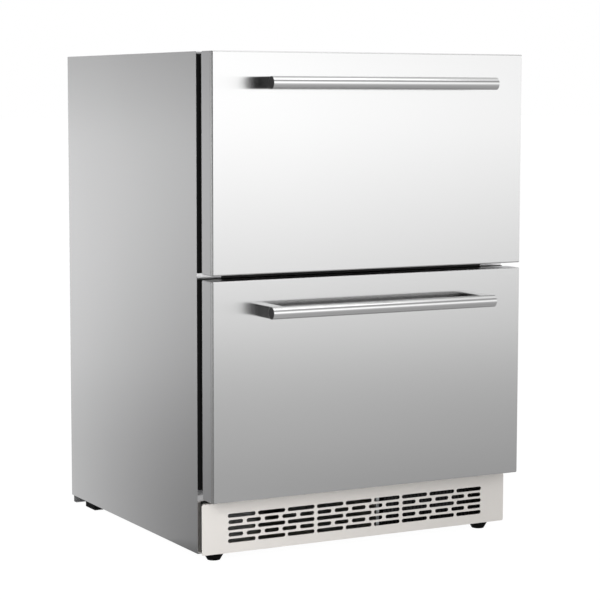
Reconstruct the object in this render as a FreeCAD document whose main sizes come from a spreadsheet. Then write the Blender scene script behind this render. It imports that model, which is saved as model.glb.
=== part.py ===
import FreeCAD, Part
import math
import operator
import os
import Sketcher

# Undercounter drawer refrigerator: an insulated steel cabinet with two stacked drawers, a
# slotted kick plate and a compressor bay behind it. The frame stands on the floor: +Z is up,
# the drawers open towards -Y, and the origin is under the middle of the whole outline.

V = FreeCAD.Vector
os.makedirs("parts", exist_ok=True)
doc = FreeCAD.newDocument("drawer_refrigerator")

# ---------------------------------------------------------------- driving sizes, in millimetres

SIZES = (
    # the cabinet
    ("cabinet_width", 607, "outside width of the cabinet and of both drawer fronts"),
    ("cabinet_depth", 568, "cabinet from its front flanges to its back"),
    ("cabinet_top", 857, "top of the cabinet above the floor"),
    ("foot_height", 15, "underside of the cabinet above the floor"),
    ("sheet", 1, "outer steel sheet"),
    ("wall", 45, "insulated side walls, ceiling and floor, and the front flanges that close them"),
    ("rear_wall", 50, "insulated rear wall"),
    ("step_wall", 40, "insulated step over the compressor bay"),
    ("liner_sheet", 1.5, "inner liner"),
    ("base_height", 90, "machine space under the insulated floor"),
    ("bay_depth", 225, "compressor bay, from the back of the cabinet"),
    ("bay_height", 235, "compressor bay, from the underside of the cabinet"),
    ("hem_width", 6, "narrow front hem of the side panels beside the kick plate"),
    ("mullion_height", 40, "cross rail between the two drawer openings"),
    ("mullion_depth", 30, "how far the cross rail runs back"),
    ("mullion_lip", 10, "folded rear lips of the cross rail"),
    ("cover_strip_thick", 2, "dark strip that covers the front of the cross rail"),
    ("rail_return", 20, "lower rail, folded back under the insulated floor"),
    ("fit_gap", 0.3, "clearance between pieces that move or are set in loosely"),
    # the drawer fronts
    ("front_depth", 41, "drawer front, from its face to the back of its tray"),
    ("upper_front_height", 367, "upper drawer front"),
    ("lower_front_height", 370, "lower drawer front"),
    ("front_reveal", 9, "gap between the two drawer fronts"),
    ("skin_return", 7, "edge of the face sheet, folded back round the front"),
    ("seam_gap", 0.6, "joint between the face sheet and the rear tray"),
    ("face_radius", 2.2, "rounding round the face"),
    ("tray_radius", 2, "rounding round the back of the tray"),
    # the magnetic gaskets
    ("gasket_depth", 19, "gasket, from the tray to the cabinet flange"),
    ("gasket_width", 16, "gasket section across its band"),
    ("gasket_slant", 3, "how far the gasket draws in towards the tray"),
    ("gasket_side_inset", 0.5, "gasket, in from the side of the front"),
    ("upper_gasket_top_inset", 4.5, "upper gasket, below the top of its front"),
    ("upper_gasket_low_inset", 0.5, "upper gasket, above the bottom of its front"),
    ("lower_gasket_top_inset", 0.5, "lower gasket, below the top of its front"),
    ("lower_gasket_low_inset", 14, "lower gasket, above the bottom of its front"),
    # the handles
    ("handle_length", 437, "handle tube, end to end"),
    ("handle_diameter", 21, "handle tube, outside"),
    ("handle_wall", 1.5, "handle tube wall"),
    ("handle_out", 45, "handle axis in front of the face"),
    ("handle_drop", 51.5, "handle axis below the top of its front"),
    ("post_width", 25, "handle post along the handle"),
    ("post_inset", 0.3, "handle post, inside the tube's height at top and bottom"),
    ("post_radius", 2.5, "rounding of the post's long edges"),
    ("cap_thick", 3, "plug in each end of the handle tube"),
    ("seat_gap", 0.05, "clearance of a seat that is drawn up tight"),
    ("screw_diameter", 6, "handle screw shank"),
    ("screw_length", 18, "handle screw shank beyond the face"),
    ("screw_head_diameter", 12, "handle screw head"),
    ("screw_head_height", 4, "handle screw head, front to back"),
    # the telescopic slides
    ("slide_length", 450, "cabinet and middle members"),
    ("slide_height", 45, "cabinet member, top to bottom"),
    ("slide_thick", 13, "whole slide, side to side"),
    ("slide_sheet", 1.4, "slide members' steel"),
    ("slide_gap", 0.35, "running gap between the members"),
    ("slide_setback", 4, "slides behind the cabinet front"),
    ("slide_rest", 2, "how far the middle member stands from the ends of the cabinet member's flanges"),
    ("slide_tab", 22, "folded tab that fixes the drawer member to the tray"),
    ("upper_slide_up", 112, "upper slides above the bottom of their drawer front"),
    ("lower_slide_up", 220, "lower slides above the bottom of their drawer front"),
    # the bins
    ("bin_sheet", 1.5, "bin walls and floor"),
    ("bin_radius", 16, "bin corners"),
    ("bin_rim", 7, "turned-out rim at the back of a bin"),
    ("upper_bin_up", 26, "upper bin floor above the bottom of its drawer front"),
    ("upper_bin_height", 230, "upper bin"),
    ("upper_bin_gap", 30, "upper bin's rear rim, in front of the evaporator cover"),
    ("lower_bin_up", 48, "lower bin floor above the bottom of its drawer front"),
    ("lower_bin_height", 262, "lower bin"),
    ("lower_bin_gap", 13, "lower bin's rear rim, in front of the compressor step"),
    # the kick plate
    ("kick_height", 87, "kick plate"),
    ("kick_setback", 43, "kick plate behind the face of the drawer fronts"),
    ("kick_sheet", 1.2, "kick plate steel"),
    ("kick_corner", 3, "kick plate corner rounding"),
    ("kick_lip", 9, "stiffening lip along the top of the kick plate"),
    ("slot_height", 7, "slots, top to bottom, with round ends"),
    ("slot_row_pitch", 10.8, "slot rows"),
    ("slot_rise", 42, "middle slot row above the bottom of the plate"),
    ("long_slot", 52.8, "slot in the first, third and fifth rows"),
    ("long_pitch", 57.2, "slots in those rows"),
    ("long_count", 9, "slots in each of those rows"),
    ("short_slot", 28, "slot in the second and fourth rows"),
    ("short_pitch", 34.3, "slots in those rows"),
    ("short_count", 15, "slots in each of those rows"),
    # the base
    ("pan_sheet", 1.5, "base pan steel"),
    ("pan_lip", 25, "base pan's side upstands"),
    ("foot_inset", 35.5, "front feet, in from the sides of the cabinet"),
    ("foot_back", 72, "front feet, behind the face of the drawer fronts"),
    ("foot_top_diameter", 33, "front foot at its top"),
    ("foot_floor_diameter", 22, "front foot on the floor"),
    ("foot_rim", 5, "straight rim at the top of a front foot"),
    ("stud_diameter", 8, "front foot stud"),
    ("stud_length", 24, "front foot stud above the foot"),
    ("rear_foot_width", 24, "rear foot block, side to side"),
    ("rear_foot_length", 43, "rear foot block, front to back"),
    ("rear_foot_inset", 7.5, "rear foot block in from the side of the cabinet"),
    ("rear_foot_forward", 52, "rear foot block, its back in front of the cabinet back"),
    ("rear_foot_round", 2, "rounding under the rear foot blocks"),
    ("rear_rail_drop", 14, "rear rail, below the cabinet"),
    ("rear_rail_inset", 4, "rear rail, in from the side of the cabinet"),
    ("rear_rail_foot", 12, "rear rail, folded forwards under the base pan"),
    ("rail_sheet", 2, "rear rail's steel"),
    # the air side of the base
    ("baffle_across", 41, "air baffle, to the right of the middle"),
    ("baffle_flange", 6, "folded front edge of the baffle"),
    ("condenser_width", 180, "condenser"),
    ("condenser_depth", 60, "condenser"),
    ("condenser_height", 76, "condenser"),
    ("condenser_side_gap", 30, "condenser to the right of the baffle"),
    ("condenser_foot_gap", 3, "condenser behind the studs of the front feet"),
    ("fin_count", 24, "fins of the condenser"),
    ("fin_sheet", 1.6, "fins of the condenser and the evaporator"),
    ("coil_diameter", 9, "coil tubes"),
    ("coil_rows", 3, "tube rows, top to bottom"),
    ("coil_stub", 9, "coil tubes, out of the fins at each end"),
    ("fin_edge", 2.25, "fins, proud of the coil's core all round"),
    ("bend_edge", 0.5, "return bends, wider than the coil tubes all round"),
    ("shroud_gap", 14, "fan shroud behind the condenser"),
    ("shroud_edge_gap", 26, "fan shroud short of the right side, where the pipe passes"),
    ("shroud_hole", 82, "round hole of each fan shroud"),
    ("fan_diameter", 76, "both fans"),
    ("fan_depth", 16, "both fans, front to back"),
    ("fan_gap", 4, "fan wheel behind its plate, and motor behind the wheel"),
    ("collar_depth", 12, "collar round the condenser fan"),
    ("fan_hub", 28, "fan hubs"),
    ("fan_blades", 6, "blades of each fan"),
    ("blade_sheet", 1.6, "fan blades"),
    ("blade_span", 12.8, "blade roots, front to back"),
    ("root_tilt", 52, "blades at the hub, in degrees out of the wheel's plane"),
    ("tip_tilt", 34, "blades at the tip, in degrees out of the wheel's plane"),
    ("motor_diameter", 46, "fan motors"),
    ("motor_length", 30, "fan motors"),
    ("shaft_diameter", 4, "fan motor shafts"),
    ("strap_width", 10, "straps that hold a fan motor"),
    ("strap_sheet", 1.5, "straps' steel"),
    # the compressor bay
    ("compressor_across", 130, "compressor, to the right of the middle"),
    ("compressor_length", 190, "compressor shell, side to side"),
    ("compressor_depth", 140, "compressor shell, front to back"),
    ("compressor_height", 165, "compressor shell"),
    ("compressor_back", 112, "compressor axis in front of the cabinet back"),
    ("dome_height", 26, "domed top of the shell"),
    ("dome_inset", 30, "top of the dome, in from the shell's side"),
    ("dish_height", 14, "dished bottom of the shell"),
    ("dish_inset", 18, "bottom of the dish, in from the shell's side"),
    ("weld_band", 5, "weld band round the shell"),
    ("plate_sheet", 3, "compressor base plate"),
    ("grommet_diameter", 26, "rubber grommets"),
    ("grommet_height", 12, "rubber grommets"),
    ("lug_spread", 200, "grommets, side to side"),
    ("lug_depth", 100, "grommets, front to back"),
    ("relay_width", 60, "relay cover"),
    ("relay_depth", 26, "relay cover"),
    ("relay_height", 62, "relay cover"),
    ("pipe_diameter", 8, "discharge and suction pipes"),
    ("pipe_bend", 10, "bends of the pipes, on their centre lines"),
    ("pipe_out", 20, "discharge pipe, out from the shell before it turns down"),
    ("port_rise", 55, "discharge port above the bottom of the shell"),
    ("drip_width", 170, "evaporation pan"),
    ("drip_depth", 120, "evaporation pan"),
    ("drip_height", 42, "evaporation pan"),
    ("drip_wall", 2, "evaporation pan's plastic"),
    ("drip_radius", 6, "evaporation pan's corners"),
    ("drip_across", 110, "evaporation pan's middle, to the left"),
    ("drain_diameter", 16, "drain tube"),
    ("drain_bore", 11, "drain tube's bore"),
    ("drain_rim", 24, "drain tube's collar"),
    ("drain_rim_height", 2, "drain tube's collar"),
    ("box_width", 70, "control box"),
    ("box_depth", 40, "control box"),
    ("box_height", 90, "control box"),
    ("box_gap", 6, "control box, clear of the side and the front of the bay"),
    ("box_radius", 3, "control box's upright edges"),
    ("bay_cover_inset", 3.6, "bay cover, set in from the cabinet back"),
    ("bay_cover_lip", 12, "folded top of the bay cover"),
    ("louvre_width", 60, "bay cover's vents"),
    ("louvre_height", 6, "bay cover's vents"),
    ("louvre_pitch", 16, "bay cover's vents, up and down"),
    ("louvre_spread", 84, "bay cover's vents, side to side"),
    ("louvre_rows", 7, "bay cover's vents, up and down"),
    ("louvre_columns", 5, "bay cover's vents, side to side"),
    ("gland_bore", 9, "cord gland's bore"),
    ("gland_diameter", 16, "cord gland's neck"),
    ("gland_flange", 22, "cord gland's flange"),
    ("gland_thick", 2, "cord gland's flanges"),
    ("gland_inset", 68.5, "cord gland, in from the left side of the cabinet"),
    ("gland_rise", 60, "cord gland, above the underside of the cabinet"),
    # the cold side
    ("cooler_side_gap", 14, "evaporator cover beside the suction line"),
    ("cooler_depth", 58, "evaporator cover"),
    ("cooler_foot", 8, "evaporator cover above the step"),
    ("cooler_top_gap", 30, "evaporator cover below the ceiling"),
    ("cooler_sheet", 2, "evaporator cover's plastic"),
    ("cooler_radius", 5, "evaporator cover's front edges"),
    ("cooler_fan_rise", 90, "evaporator fan above the bottom of its cover"),
    ("outlet_height", 9, "air outlets near the top of the cover"),
    ("outlet_width", 90, "air outlets near the top of the cover"),
    ("outlet_pitch", 112, "air outlets, side to side"),
    ("outlet_count", 3, "air outlets"),
    ("coil_width", 300, "evaporator"),
    ("coil_depth", 40, "evaporator"),
    ("coil_height", 150, "evaporator"),
    ("coil_drop", 60, "evaporator below the top of its cover"),
    ("coil_fins", 26, "fins of the evaporator"),
    ("lamp_width", 180, "lamp"),
    ("lamp_depth", 26, "lamp"),
    ("lamp_height", 9, "lamp"),
    ("lamp_back", 30, "lamp behind the cabinet front"),
    ("lamp_radius", 3, "lamp's lower edges"),
)

sheet = doc.addObject("Spreadsheet::Sheet", "Sizes")
for row, (alias, number, note) in enumerate(SIZES, start=1):
    sheet.set(f"A{row}", note)
    sheet.set(f"B{row}", str(number))
    sheet.setAlias(f"B{row}", alias)
doc.recompute()


class Size:
    """A length: its number now, and the formula of the sheet's cells that gives it."""

    def __init__(self, number, formula):
        self.number = number
        self.formula = formula

    def joined(self, sign, work, other, swap=False):
        other = other if isinstance(other, Size) else Size(other, str(other))
        first, last = (other, self) if swap else (self, other)
        return Size(work(first.number, last.number), f"({first.formula} {sign} {last.formula})")

    def __add__(self, other):
        return self.joined("+", operator.add, other)

    def __sub__(self, other):
        return self.joined("-", operator.sub, other)

    def __rsub__(self, other):
        return self.joined("-", operator.sub, other, swap=True)

    def __mul__(self, other):
        return self.joined("*", operator.mul, other)

    def __rmul__(self, other):
        return self.joined("*", operator.mul, other, swap=True)

    def __truediv__(self, other):
        return self.joined("/", operator.truediv, other)

    def __neg__(self):
        return Size(-self.number, f"(0 - {self.formula})")


class Cells:
    """The driving sizes, each read from the sheet by its alias."""

    def __getattr__(self, alias):
        return Size(sheet.get(alias), "Sizes." + alias)


cell = Cells()


ZERO = Size(0, "0")
PAST = 1  # how far a cutting tool runs past what it cuts

# ---------------------------------------------------------------- places worked out from the sizes

half_width = cell.cabinet_width / 2
whole_depth = (cell.cabinet_depth + cell.gasket_depth + cell.front_depth + cell.handle_out
               + cell.handle_diameter / 2)
back = whole_depth / 2
cabinet_front = back - cell.cabinet_depth
tray_back = cabinet_front - cell.gasket_depth
face = tray_back - cell.front_depth
handle_axis = face - cell.handle_out
panel_inside = half_width - cell.sheet
flange_inside = half_width - cell.wall
flange_back = cabinet_front + cell.sheet
rear_inside = back - cell.sheet

top = cell.cabinet_top
top_inside = top - cell.sheet
bottom = cell.foot_height
foam_bottom = bottom + cell.base_height
cavity_floor = foam_bottom + cell.wall
cavity_top = top - cell.wall
cavity_back = back - cell.rear_wall
bay_front = back - cell.bay_depth
bay_top = bottom + cell.bay_height
step_front = bay_front - cell.step_wall
step_top = bay_top + cell.step_wall
pan_top = bottom + cell.pan_sheet

upper_low = top - cell.upper_front_height
lower_high = upper_low - cell.front_reveal
lower_low = lower_high - cell.lower_front_height
mullion_middle = (upper_low + lower_high) / 2
kick_front = face + cell.kick_setback
kick_top = bottom + cell.kick_height

# ---------------------------------------------------------------- ways of making a piece

NODES = {}


def keep(node, item):
    """Names a finished piece."""
    item.Label = node
    NODES[node] = item
    return item


def block(name, x, y, z):
    """A plain block, from a low to a high place along each axis."""
    item = doc.addObject("Part::Box", name)
    for edge, axis, (low, high) in zip(("Length", "Width", "Height"), "xyz", (x, y, z)):
        item.setExpression(edge, (high - low).formula)
        item.setExpression("Placement.Base." + axis, low.formula)
    return item


def rod(name, radius, length, at, along):
    """A round bar that starts at a place and runs along X, Y or Z."""
    turn = {"x": (V(0, 1, 0), 90), "y": (V(1, 0, 0), -90), "z": (V(0, 0, 1), 0)}[along]
    item = doc.addObject("Part::Cylinder", name)
    item.Placement = FreeCAD.Placement(V(0, 0, 0), FreeCAD.Rotation(*turn))
    item.setExpression("Radius", radius.formula)
    item.setExpression("Height", length.formula)
    for axis, place in zip("xyz", at):
        item.setExpression("Placement.Base." + axis, place.formula)
    return item


def join(name, *items):
    """Pieces fused into one solid."""
    item = doc.addObject("Part::MultiFuse", name)
    item.Shapes = list(items)
    item.Refine = True
    return item


def cut(name, base, *tools):
    """A piece with others cut away from it."""
    item = doc.addObject("Part::Cut", name)
    item.Base = base
    item.Tool = tools[0] if len(tools) == 1 else join(name + "_tools", *tools)
    item.Refine = True
    return item


def group(name, *items):
    """Separate solids that share a node."""
    item = doc.addObject("Part::Compound", name)
    item.Links = list(items)
    return item


def mirrored(name, item):
    """The same piece on the other side of the middle."""
    other = doc.addObject("Part::Mirroring", name)
    other.Source = item
    other.Normal = V(1, 0, 0)
    return other


def both_sides(name, item):
    """A piece and its mirror image."""
    return group(name, item, mirrored(name + "_right", item))


def new_body(name):
    return doc.addObject("PartDesign::Body", name)


def place_sketch(body, name, role, offset):
    """A sketch on one of the body's own planes, moved along the plane's normal."""
    sketch = body.newObject("Sketcher::SketchObject", name)
    origin_plane = next(item for item in body.Origin.OriginFeatures if item.Role == role)
    sketch.AttachmentSupport = [(origin_plane, "")]
    sketch.MapMode = "FlatFace"
    sketch.setExpression("AttachmentOffset.Base.z", offset.formula)
    return sketch


def pin_down(sketch, index, end, across, up):
    """Holds a point of a sketch by its two distances from the origin."""
    for kind, place in (("DistanceX", across), ("DistanceY", up)):
        held = sketch.addConstraint(Sketcher.Constraint(kind, -1, 1, index, end, place.number))
        sketch.setExpression(f"Constraints[{held}]", place.formula)


def draw_loop(sketch, corners):
    """A closed loop of straight lines through the corners."""
    first = sketch.GeometryCount
    points = [V(across.number, up.number, 0) for across, up in corners]
    for start, end in zip(points, points[1:] + points[:1]):
        sketch.addGeometry(Part.LineSegment(start, end), False)
    for step in range(len(corners)):
        following = first + (step + 1) % len(corners)
        sketch.addConstraint(Sketcher.Constraint("Coincident", first + step, 2, following, 1))
    for step, (across, up) in enumerate(corners):
        pin_down(sketch, first + step, 1, across, up)


def draw_circle(sketch, across, up, radius):
    """A circle about a place."""
    index = sketch.addGeometry(Part.Circle(V(across.number, up.number, 0), V(0, 0, 1), radius.number), False)
    pin_down(sketch, index, 3, across, up)
    held = sketch.addConstraint(Sketcher.Constraint("Radius", index, radius.number))
    sketch.setExpression(f"Constraints[{held}]", radius.formula)


def draw_slot(sketch, across, up, length, height):
    """A slot with round ends, centred on a place and lying along the sketch's first axis."""
    reach = (length - height) / 2
    radius = height / 2
    left, right = across - reach, across + reach
    low, high = up - radius, up + radius
    places = (("low_left", left, low), ("low_right", right, low),
              ("high_right", right, high), ("high_left", left, high))
    corners = {key: V(x.number, y.number, 0) for key, x, y in places}
    bottom_line = sketch.addGeometry(Part.LineSegment(corners["low_left"], corners["low_right"]), False)
    top_line = sketch.addGeometry(Part.LineSegment(corners["high_right"], corners["high_left"]), False)
    right_end = sketch.addGeometry(Part.Arc(corners["low_right"], V((right + radius).number, up.number, 0),
                                            corners["high_right"]), False)
    left_end = sketch.addGeometry(Part.Arc(corners["high_left"], V((left - radius).number, up.number, 0),
                                           corners["low_left"]), False)
    for before, after in ((bottom_line, right_end), (right_end, top_line), (top_line, left_end),
                          (left_end, bottom_line)):
        sketch.addConstraint(Sketcher.Constraint("Tangent", before, 2, after, 1))
    pin_down(sketch, right_end, 3, right, up)
    pin_down(sketch, left_end, 3, left, up)
    held = sketch.addConstraint(Sketcher.Constraint("Radius", right_end, radius.number))
    sketch.setExpression(f"Constraints[{held}]", radius.formula)
    sketch.addConstraint(Sketcher.Constraint("Horizontal", bottom_line))


def start_offset(role, low, high):
    """Where a sketch lies so that its pad fills a span: the XZ plane faces -Y, the others +X and +Z."""
    return -high if role == "XZ_Plane" else low


def pad_loops(body, name, role, loops, span):
    """A pad of closed straight-edged loops over a span along the plane's axis."""
    low, high = span
    sketch = place_sketch(body, name + "_outline", role, start_offset(role, low, high))
    for corners in loops:
        draw_loop(sketch, corners)
    pad = body.newObject("PartDesign::Pad", name)
    pad.Profile = sketch
    pad.setExpression("Length", (high - low).formula)
    return pad


def pocket_loops(body, name, role, loops, span):
    """A pocket of closed loops over a span along the plane's axis."""
    low, high = span
    sketch = place_sketch(body, name + "_outline", role, start_offset(role, low, high))
    for corners in loops:
        draw_loop(sketch, corners)
    return pocket_sketch(body, name, sketch, high - low)


def pocket_sketch(body, name, sketch, depth):
    """A pocket of a sketch, cut along the sketch's normal."""
    pocket = body.newObject("PartDesign::Pocket", name)
    pocket.Profile = sketch
    pocket.Reversed = True
    pocket.setExpression("Length", depth.formula)
    return pocket


def profile(name, role, corners, span):
    """A folded sheet or other straight piece: one outline, run along one axis."""
    body = new_body(name)
    pad_loops(body, name + "_pad", role, [corners], span)
    return body


def rectangle(across, up):
    """The four corners between two pairs of places."""
    (left, right), (low, high) = across, up
    return [(left, low), (right, low), (right, high), (left, high)]


LENGTHWAYS, UPRIGHT = V(0, 1, 0), V(0, 0, 1)
NEAR = 0.1  # edges are told apart by their places to within this


def parallel(edge, direction):
    """Whether an edge is straight and runs along a direction."""
    if not isinstance(edge.Curve, Part.Line):
        return False
    return abs(abs(edge.Curve.Direction.dot(direction)) - 1) < 1e-6


def round_edges(body, name, feature, radius, chosen):
    """Rounds the edges of the feature that a test picks out."""
    doc.recompute()
    picked = [f"Edge{place}" for place, edge in enumerate(feature.Shape.Edges, start=1) if chosen(edge)]
    fillet = body.newObject("PartDesign::Fillet", name)
    fillet.Base = (feature, picked)
    fillet.setExpression("Radius", radius.formula)
    return fillet


def array(body, name, feature, axis, pitch, count):
    """Copies of a feature in a row along one axis of its own sketch."""
    pattern = body.newObject("PartDesign::LinearPattern", name)
    pattern.Originals = [feature]
    pattern.Direction = (feature.Profile[0], [axis])
    pattern.Mode = "Spacing"
    pattern.setExpression("Offset", pitch.formula)
    pattern.setExpression("Occurrences", count.formula)
    body.Tip = pattern
    return pattern


def feature(name, shape):
    """A piece whose shape is made by formula."""
    item = doc.addObject("Part::Feature", name)
    item.Shape = shape
    return item


# ---------------------------------------------------------------- cabinet wrapper

def side_panel():
    """Left side: one sheet, folded in at the front to close the foamed wall, with a narrow hem below."""
    body = new_body("side_panel")
    corners = [(-half_width, cabinet_front), (-flange_inside, cabinet_front), (-flange_inside, flange_back),
               (-panel_inside, flange_back), (-panel_inside, back), (-half_width, back)]
    pad_loops(body, "side_sheet", "XY_Plane", [corners], (bottom, top))
    opening = rectangle((cell.hem_width - half_width, -flange_inside + PAST), (bottom - PAST, foam_bottom))
    pocket_loops(body, "base_opening", "XZ_Plane", [opening], (cabinet_front - PAST, flange_back + PAST))
    return body


left_side = side_panel()
keep("left_side_panel", left_side)
keep("right_side_panel", mirrored("side_panel_right", left_side))

top_sheet = profile("top_sheet", "YZ_Plane", [
    (cabinet_front, cavity_top), (flange_back, cavity_top), (flange_back, top_inside),
    (rear_inside, top_inside), (rear_inside, top), (cabinet_front, top)], (-panel_inside, panel_inside))
fold_ends = [
    block(f"top_fold_end_{side}", span, (cabinet_front, flange_back), (cavity_top - PAST, top_inside))
    for side, span in (("left", (-panel_inside, -flange_inside)), ("right", (flange_inside, panel_inside)))]
side_folds = [
    block(f"top_front_end_{side}", span, (cabinet_front - PAST, flange_back), (top_inside - PAST, top + PAST))
    for side, span in (("left", (-panel_inside - PAST, -flange_inside)),
                       ("right", (flange_inside, panel_inside + PAST)))]
keep("top_panel", cut("top_piece", top_sheet, *fold_ends, *side_folds))

keep("rear_panel", block("rear_piece", (-panel_inside, panel_inside), (rear_inside, back), (bay_top, top)))

# ---------------------------------------------------------------- liner and foam

liner_side = flange_inside + cell.liner_sheet
cavity_profile = [(flange_back, cavity_floor), (step_front, cavity_floor), (step_front, step_top),
                  (cavity_back, step_top), (cavity_back, cavity_top), (flange_back, cavity_top)]
liner_profile = [
    (flange_back, cavity_floor - cell.liner_sheet),
    (step_front + cell.liner_sheet, cavity_floor - cell.liner_sheet),
    (step_front + cell.liner_sheet, step_top - cell.liner_sheet),
    (cavity_back + cell.liner_sheet, step_top - cell.liner_sheet),
    (cavity_back + cell.liner_sheet, cavity_top + cell.liner_sheet),
    (flange_back, cavity_top + cell.liner_sheet)]

drain_across = -cell.drip_across
drain_at = cavity_back - cell.cooler_depth / 2
pipe_across = cell.compressor_across
pipe_at = cavity_back - cell.coil_depth / 2


def step_holes(name):
    """The two holes through the step: one for the drain tube, one for the suction pipe."""
    low = bay_top - PAST
    length = cell.step_wall + PAST * 2
    drain = rod(name + "_drain", cell.drain_diameter / 2 + cell.fit_gap, length,
                (drain_across, drain_at, low), "z")
    pipe = rod(name + "_pipe", cell.pipe_diameter / 2 + cell.fit_gap, length,
               (pipe_across, pipe_at, low), "z")
    return drain, pipe


def liner():
    """Inner shell: the drawer space and the step over the compressor bay, open to the front."""
    body = new_body("liner")
    pad_loops(body, "liner_outside", "YZ_Plane", [liner_profile], (-liner_side, liner_side))
    pocket_loops(body, "liner_inside", "YZ_Plane", [cavity_profile], (-flange_inside, flange_inside))
    return cut("liner_piece", body, *step_holes("liner"))


keep("liner", liner())

foam_floor_top = cavity_floor - cell.liner_sheet
foam_step_top = step_top - cell.liner_sheet
foam_step_front = step_front + cell.liner_sheet
foam_back = cavity_back + cell.liner_sheet
foam_ceiling = cavity_top + cell.liner_sheet


def foam_side():
    """The foam of the left wall, above the machine space and the bay."""
    corners = [(flange_back, foam_bottom), (bay_front, foam_bottom), (bay_front, bay_top),
               (rear_inside, bay_top), (rear_inside, top_inside), (flange_back, top_inside)]
    return profile("foam_side", "YZ_Plane", corners, (-panel_inside, -liner_side))


def insulation():
    """Foam between the wrapper and the liner, slab by slab."""
    across = (-liner_side, liner_side)
    left = foam_side()
    shelf = block("foam_shelf", across, (bay_front, rear_inside), (bay_top, foam_step_top))
    return group(
        "insulation", left, mirrored("foam_side_right", left),
        block("foam_floor", across, (flange_back, foam_step_front), (foam_bottom, foam_floor_top)),
        block("foam_step", across, (foam_step_front, bay_front), (foam_bottom, foam_step_top)),
        cut("foam_shelf_bored", shelf, *step_holes("shelf")),
        block("foam_rear", across, (foam_back, rear_inside), (foam_step_top, top_inside)),
        block("foam_ceiling", across, (flange_back, foam_back), (foam_ceiling, top_inside)))


keep("cabinet_insulation", insulation())

# ---------------------------------------------------------------- front rails


def mullion():
    """Cross rail between the drawer openings: a channel, open to the back, with folded lips."""
    low, high = mullion_span
    front = cabinet_front + cell.cover_strip_thick
    rear = cabinet_front + cell.mullion_depth
    thick = cell.sheet
    lip = cell.mullion_lip
    corners = [(front, low), (rear, low), (rear, low + lip), (rear - thick, low + lip),
               (rear - thick, low + thick), (front + thick, low + thick),
               (front + thick, high - thick), (rear - thick, high - thick), (rear - thick, high - lip),
               (rear, high - lip), (rear, high), (front, high)]
    return profile("mullion", "YZ_Plane", corners, (-flange_inside, flange_inside))


mullion_span = (mullion_middle - cell.mullion_height / 2, mullion_middle + cell.mullion_height / 2)
keep("mullion", mullion())
strip_reach = flange_inside - cell.fit_gap
keep("mullion_cover", block("cover_strip", (-strip_reach, strip_reach),
                            (cabinet_front, cabinet_front + cell.cover_strip_thick), mullion_span))

keep("lower_rail", profile("lower_rail_sheet", "YZ_Plane", [
    (cabinet_front, foam_bottom - cell.sheet), (cabinet_front + cell.rail_return, foam_bottom - cell.sheet),
    (cabinet_front + cell.rail_return, foam_bottom), (flange_back, foam_bottom), (flange_back, cavity_floor),
    (cabinet_front, cavity_floor)], (-flange_inside, flange_inside)))

# ---------------------------------------------------------------- base pan, feet and rear rail


def base_pan():
    """Floor of the machine space: a tray with upstands against the side panels."""
    inside = panel_inside - cell.pan_sheet
    lip_top = bottom + cell.pan_lip
    corners = [(-panel_inside, bottom), (panel_inside, bottom), (panel_inside, lip_top), (inside, lip_top),
               (inside, pan_top), (-inside, pan_top), (-inside, lip_top), (-panel_inside, lip_top)]
    tray = profile("pan_sheet", "XZ_Plane", corners, (flange_back, rear_inside))
    bores = [rod(f"stud_hole_{side}", cell.stud_diameter / 2 + cell.seat_gap * 2, cell.pan_sheet + PAST * 2,
                 (across, foot_at, bottom - PAST), "z")
             for side, across in (("left", -foot_across), ("right", foot_across))]
    return cut("pan_piece", tray, *bores)


foot_at = face + cell.foot_back
foot_across = half_width - cell.foot_inset
keep("base_pan", base_pan())


def front_foot(name, across):
    """Levelling foot: a tapered plastic foot on a steel stud, turned to shape."""
    body = new_body(name)
    sketch = place_sketch(body, name + "_outline", "XZ_Plane", -foot_at)
    stud_top = bottom + cell.stud_length
    foot_top = bottom - cell.fit_gap
    rim_low = foot_top - cell.foot_rim
    draw_loop(sketch, [
        (across, ZERO), (across + cell.foot_floor_diameter / 2, ZERO),
        (across + cell.foot_top_diameter / 2, rim_low), (across + cell.foot_top_diameter / 2, foot_top),
        (across + cell.stud_diameter / 2, foot_top), (across + cell.stud_diameter / 2, stud_top),
        (across, stud_top)])
    turned = body.newObject("PartDesign::Revolution", name + "_turned")
    turned.Profile = sketch
    turned.ReferenceAxis = (sketch, [f"Edge{sketch.GeometryCount}"])
    turned.Angle = 360
    return body


keep("left_front_foot", front_foot("foot_left", -foot_across))
keep("right_front_foot", front_foot("foot_right", foot_across))


def rear_foot():
    """Fixed foot block under the left rear of the base."""
    body = new_body("rear_foot")
    low = back - cell.rear_foot_forward - cell.rear_foot_length
    outer = cell.rear_foot_inset - half_width
    sole = rectangle((outer, outer + cell.rear_foot_width), (low, low + cell.rear_foot_length))
    pad = pad_loops(body, "rear_foot_block", "XY_Plane", [sole], (ZERO, bottom))
    round_edges(body, "rear_foot_edges", pad, cell.rear_foot_round, lambda edge: edge.BoundBox.ZMax < NEAR)
    return body


keep("rear_feet", both_sides("rear_foot_pair", rear_foot()))

rail_reach = half_width - cell.rear_rail_inset
keep("rear_rail", profile("rear_rail_sheet", "YZ_Plane", [
    (back - cell.rear_rail_foot, bottom - cell.rear_rail_drop), (back, bottom - cell.rear_rail_drop),
    (back, bottom), (back - cell.rail_sheet, bottom),
    (back - cell.rail_sheet, bottom - cell.rear_rail_drop + cell.rail_sheet),
    (back - cell.rear_rail_foot, bottom - cell.rear_rail_drop + cell.rail_sheet)],
    (-rail_reach, rail_reach)))

# ---------------------------------------------------------------- kick plate


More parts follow.
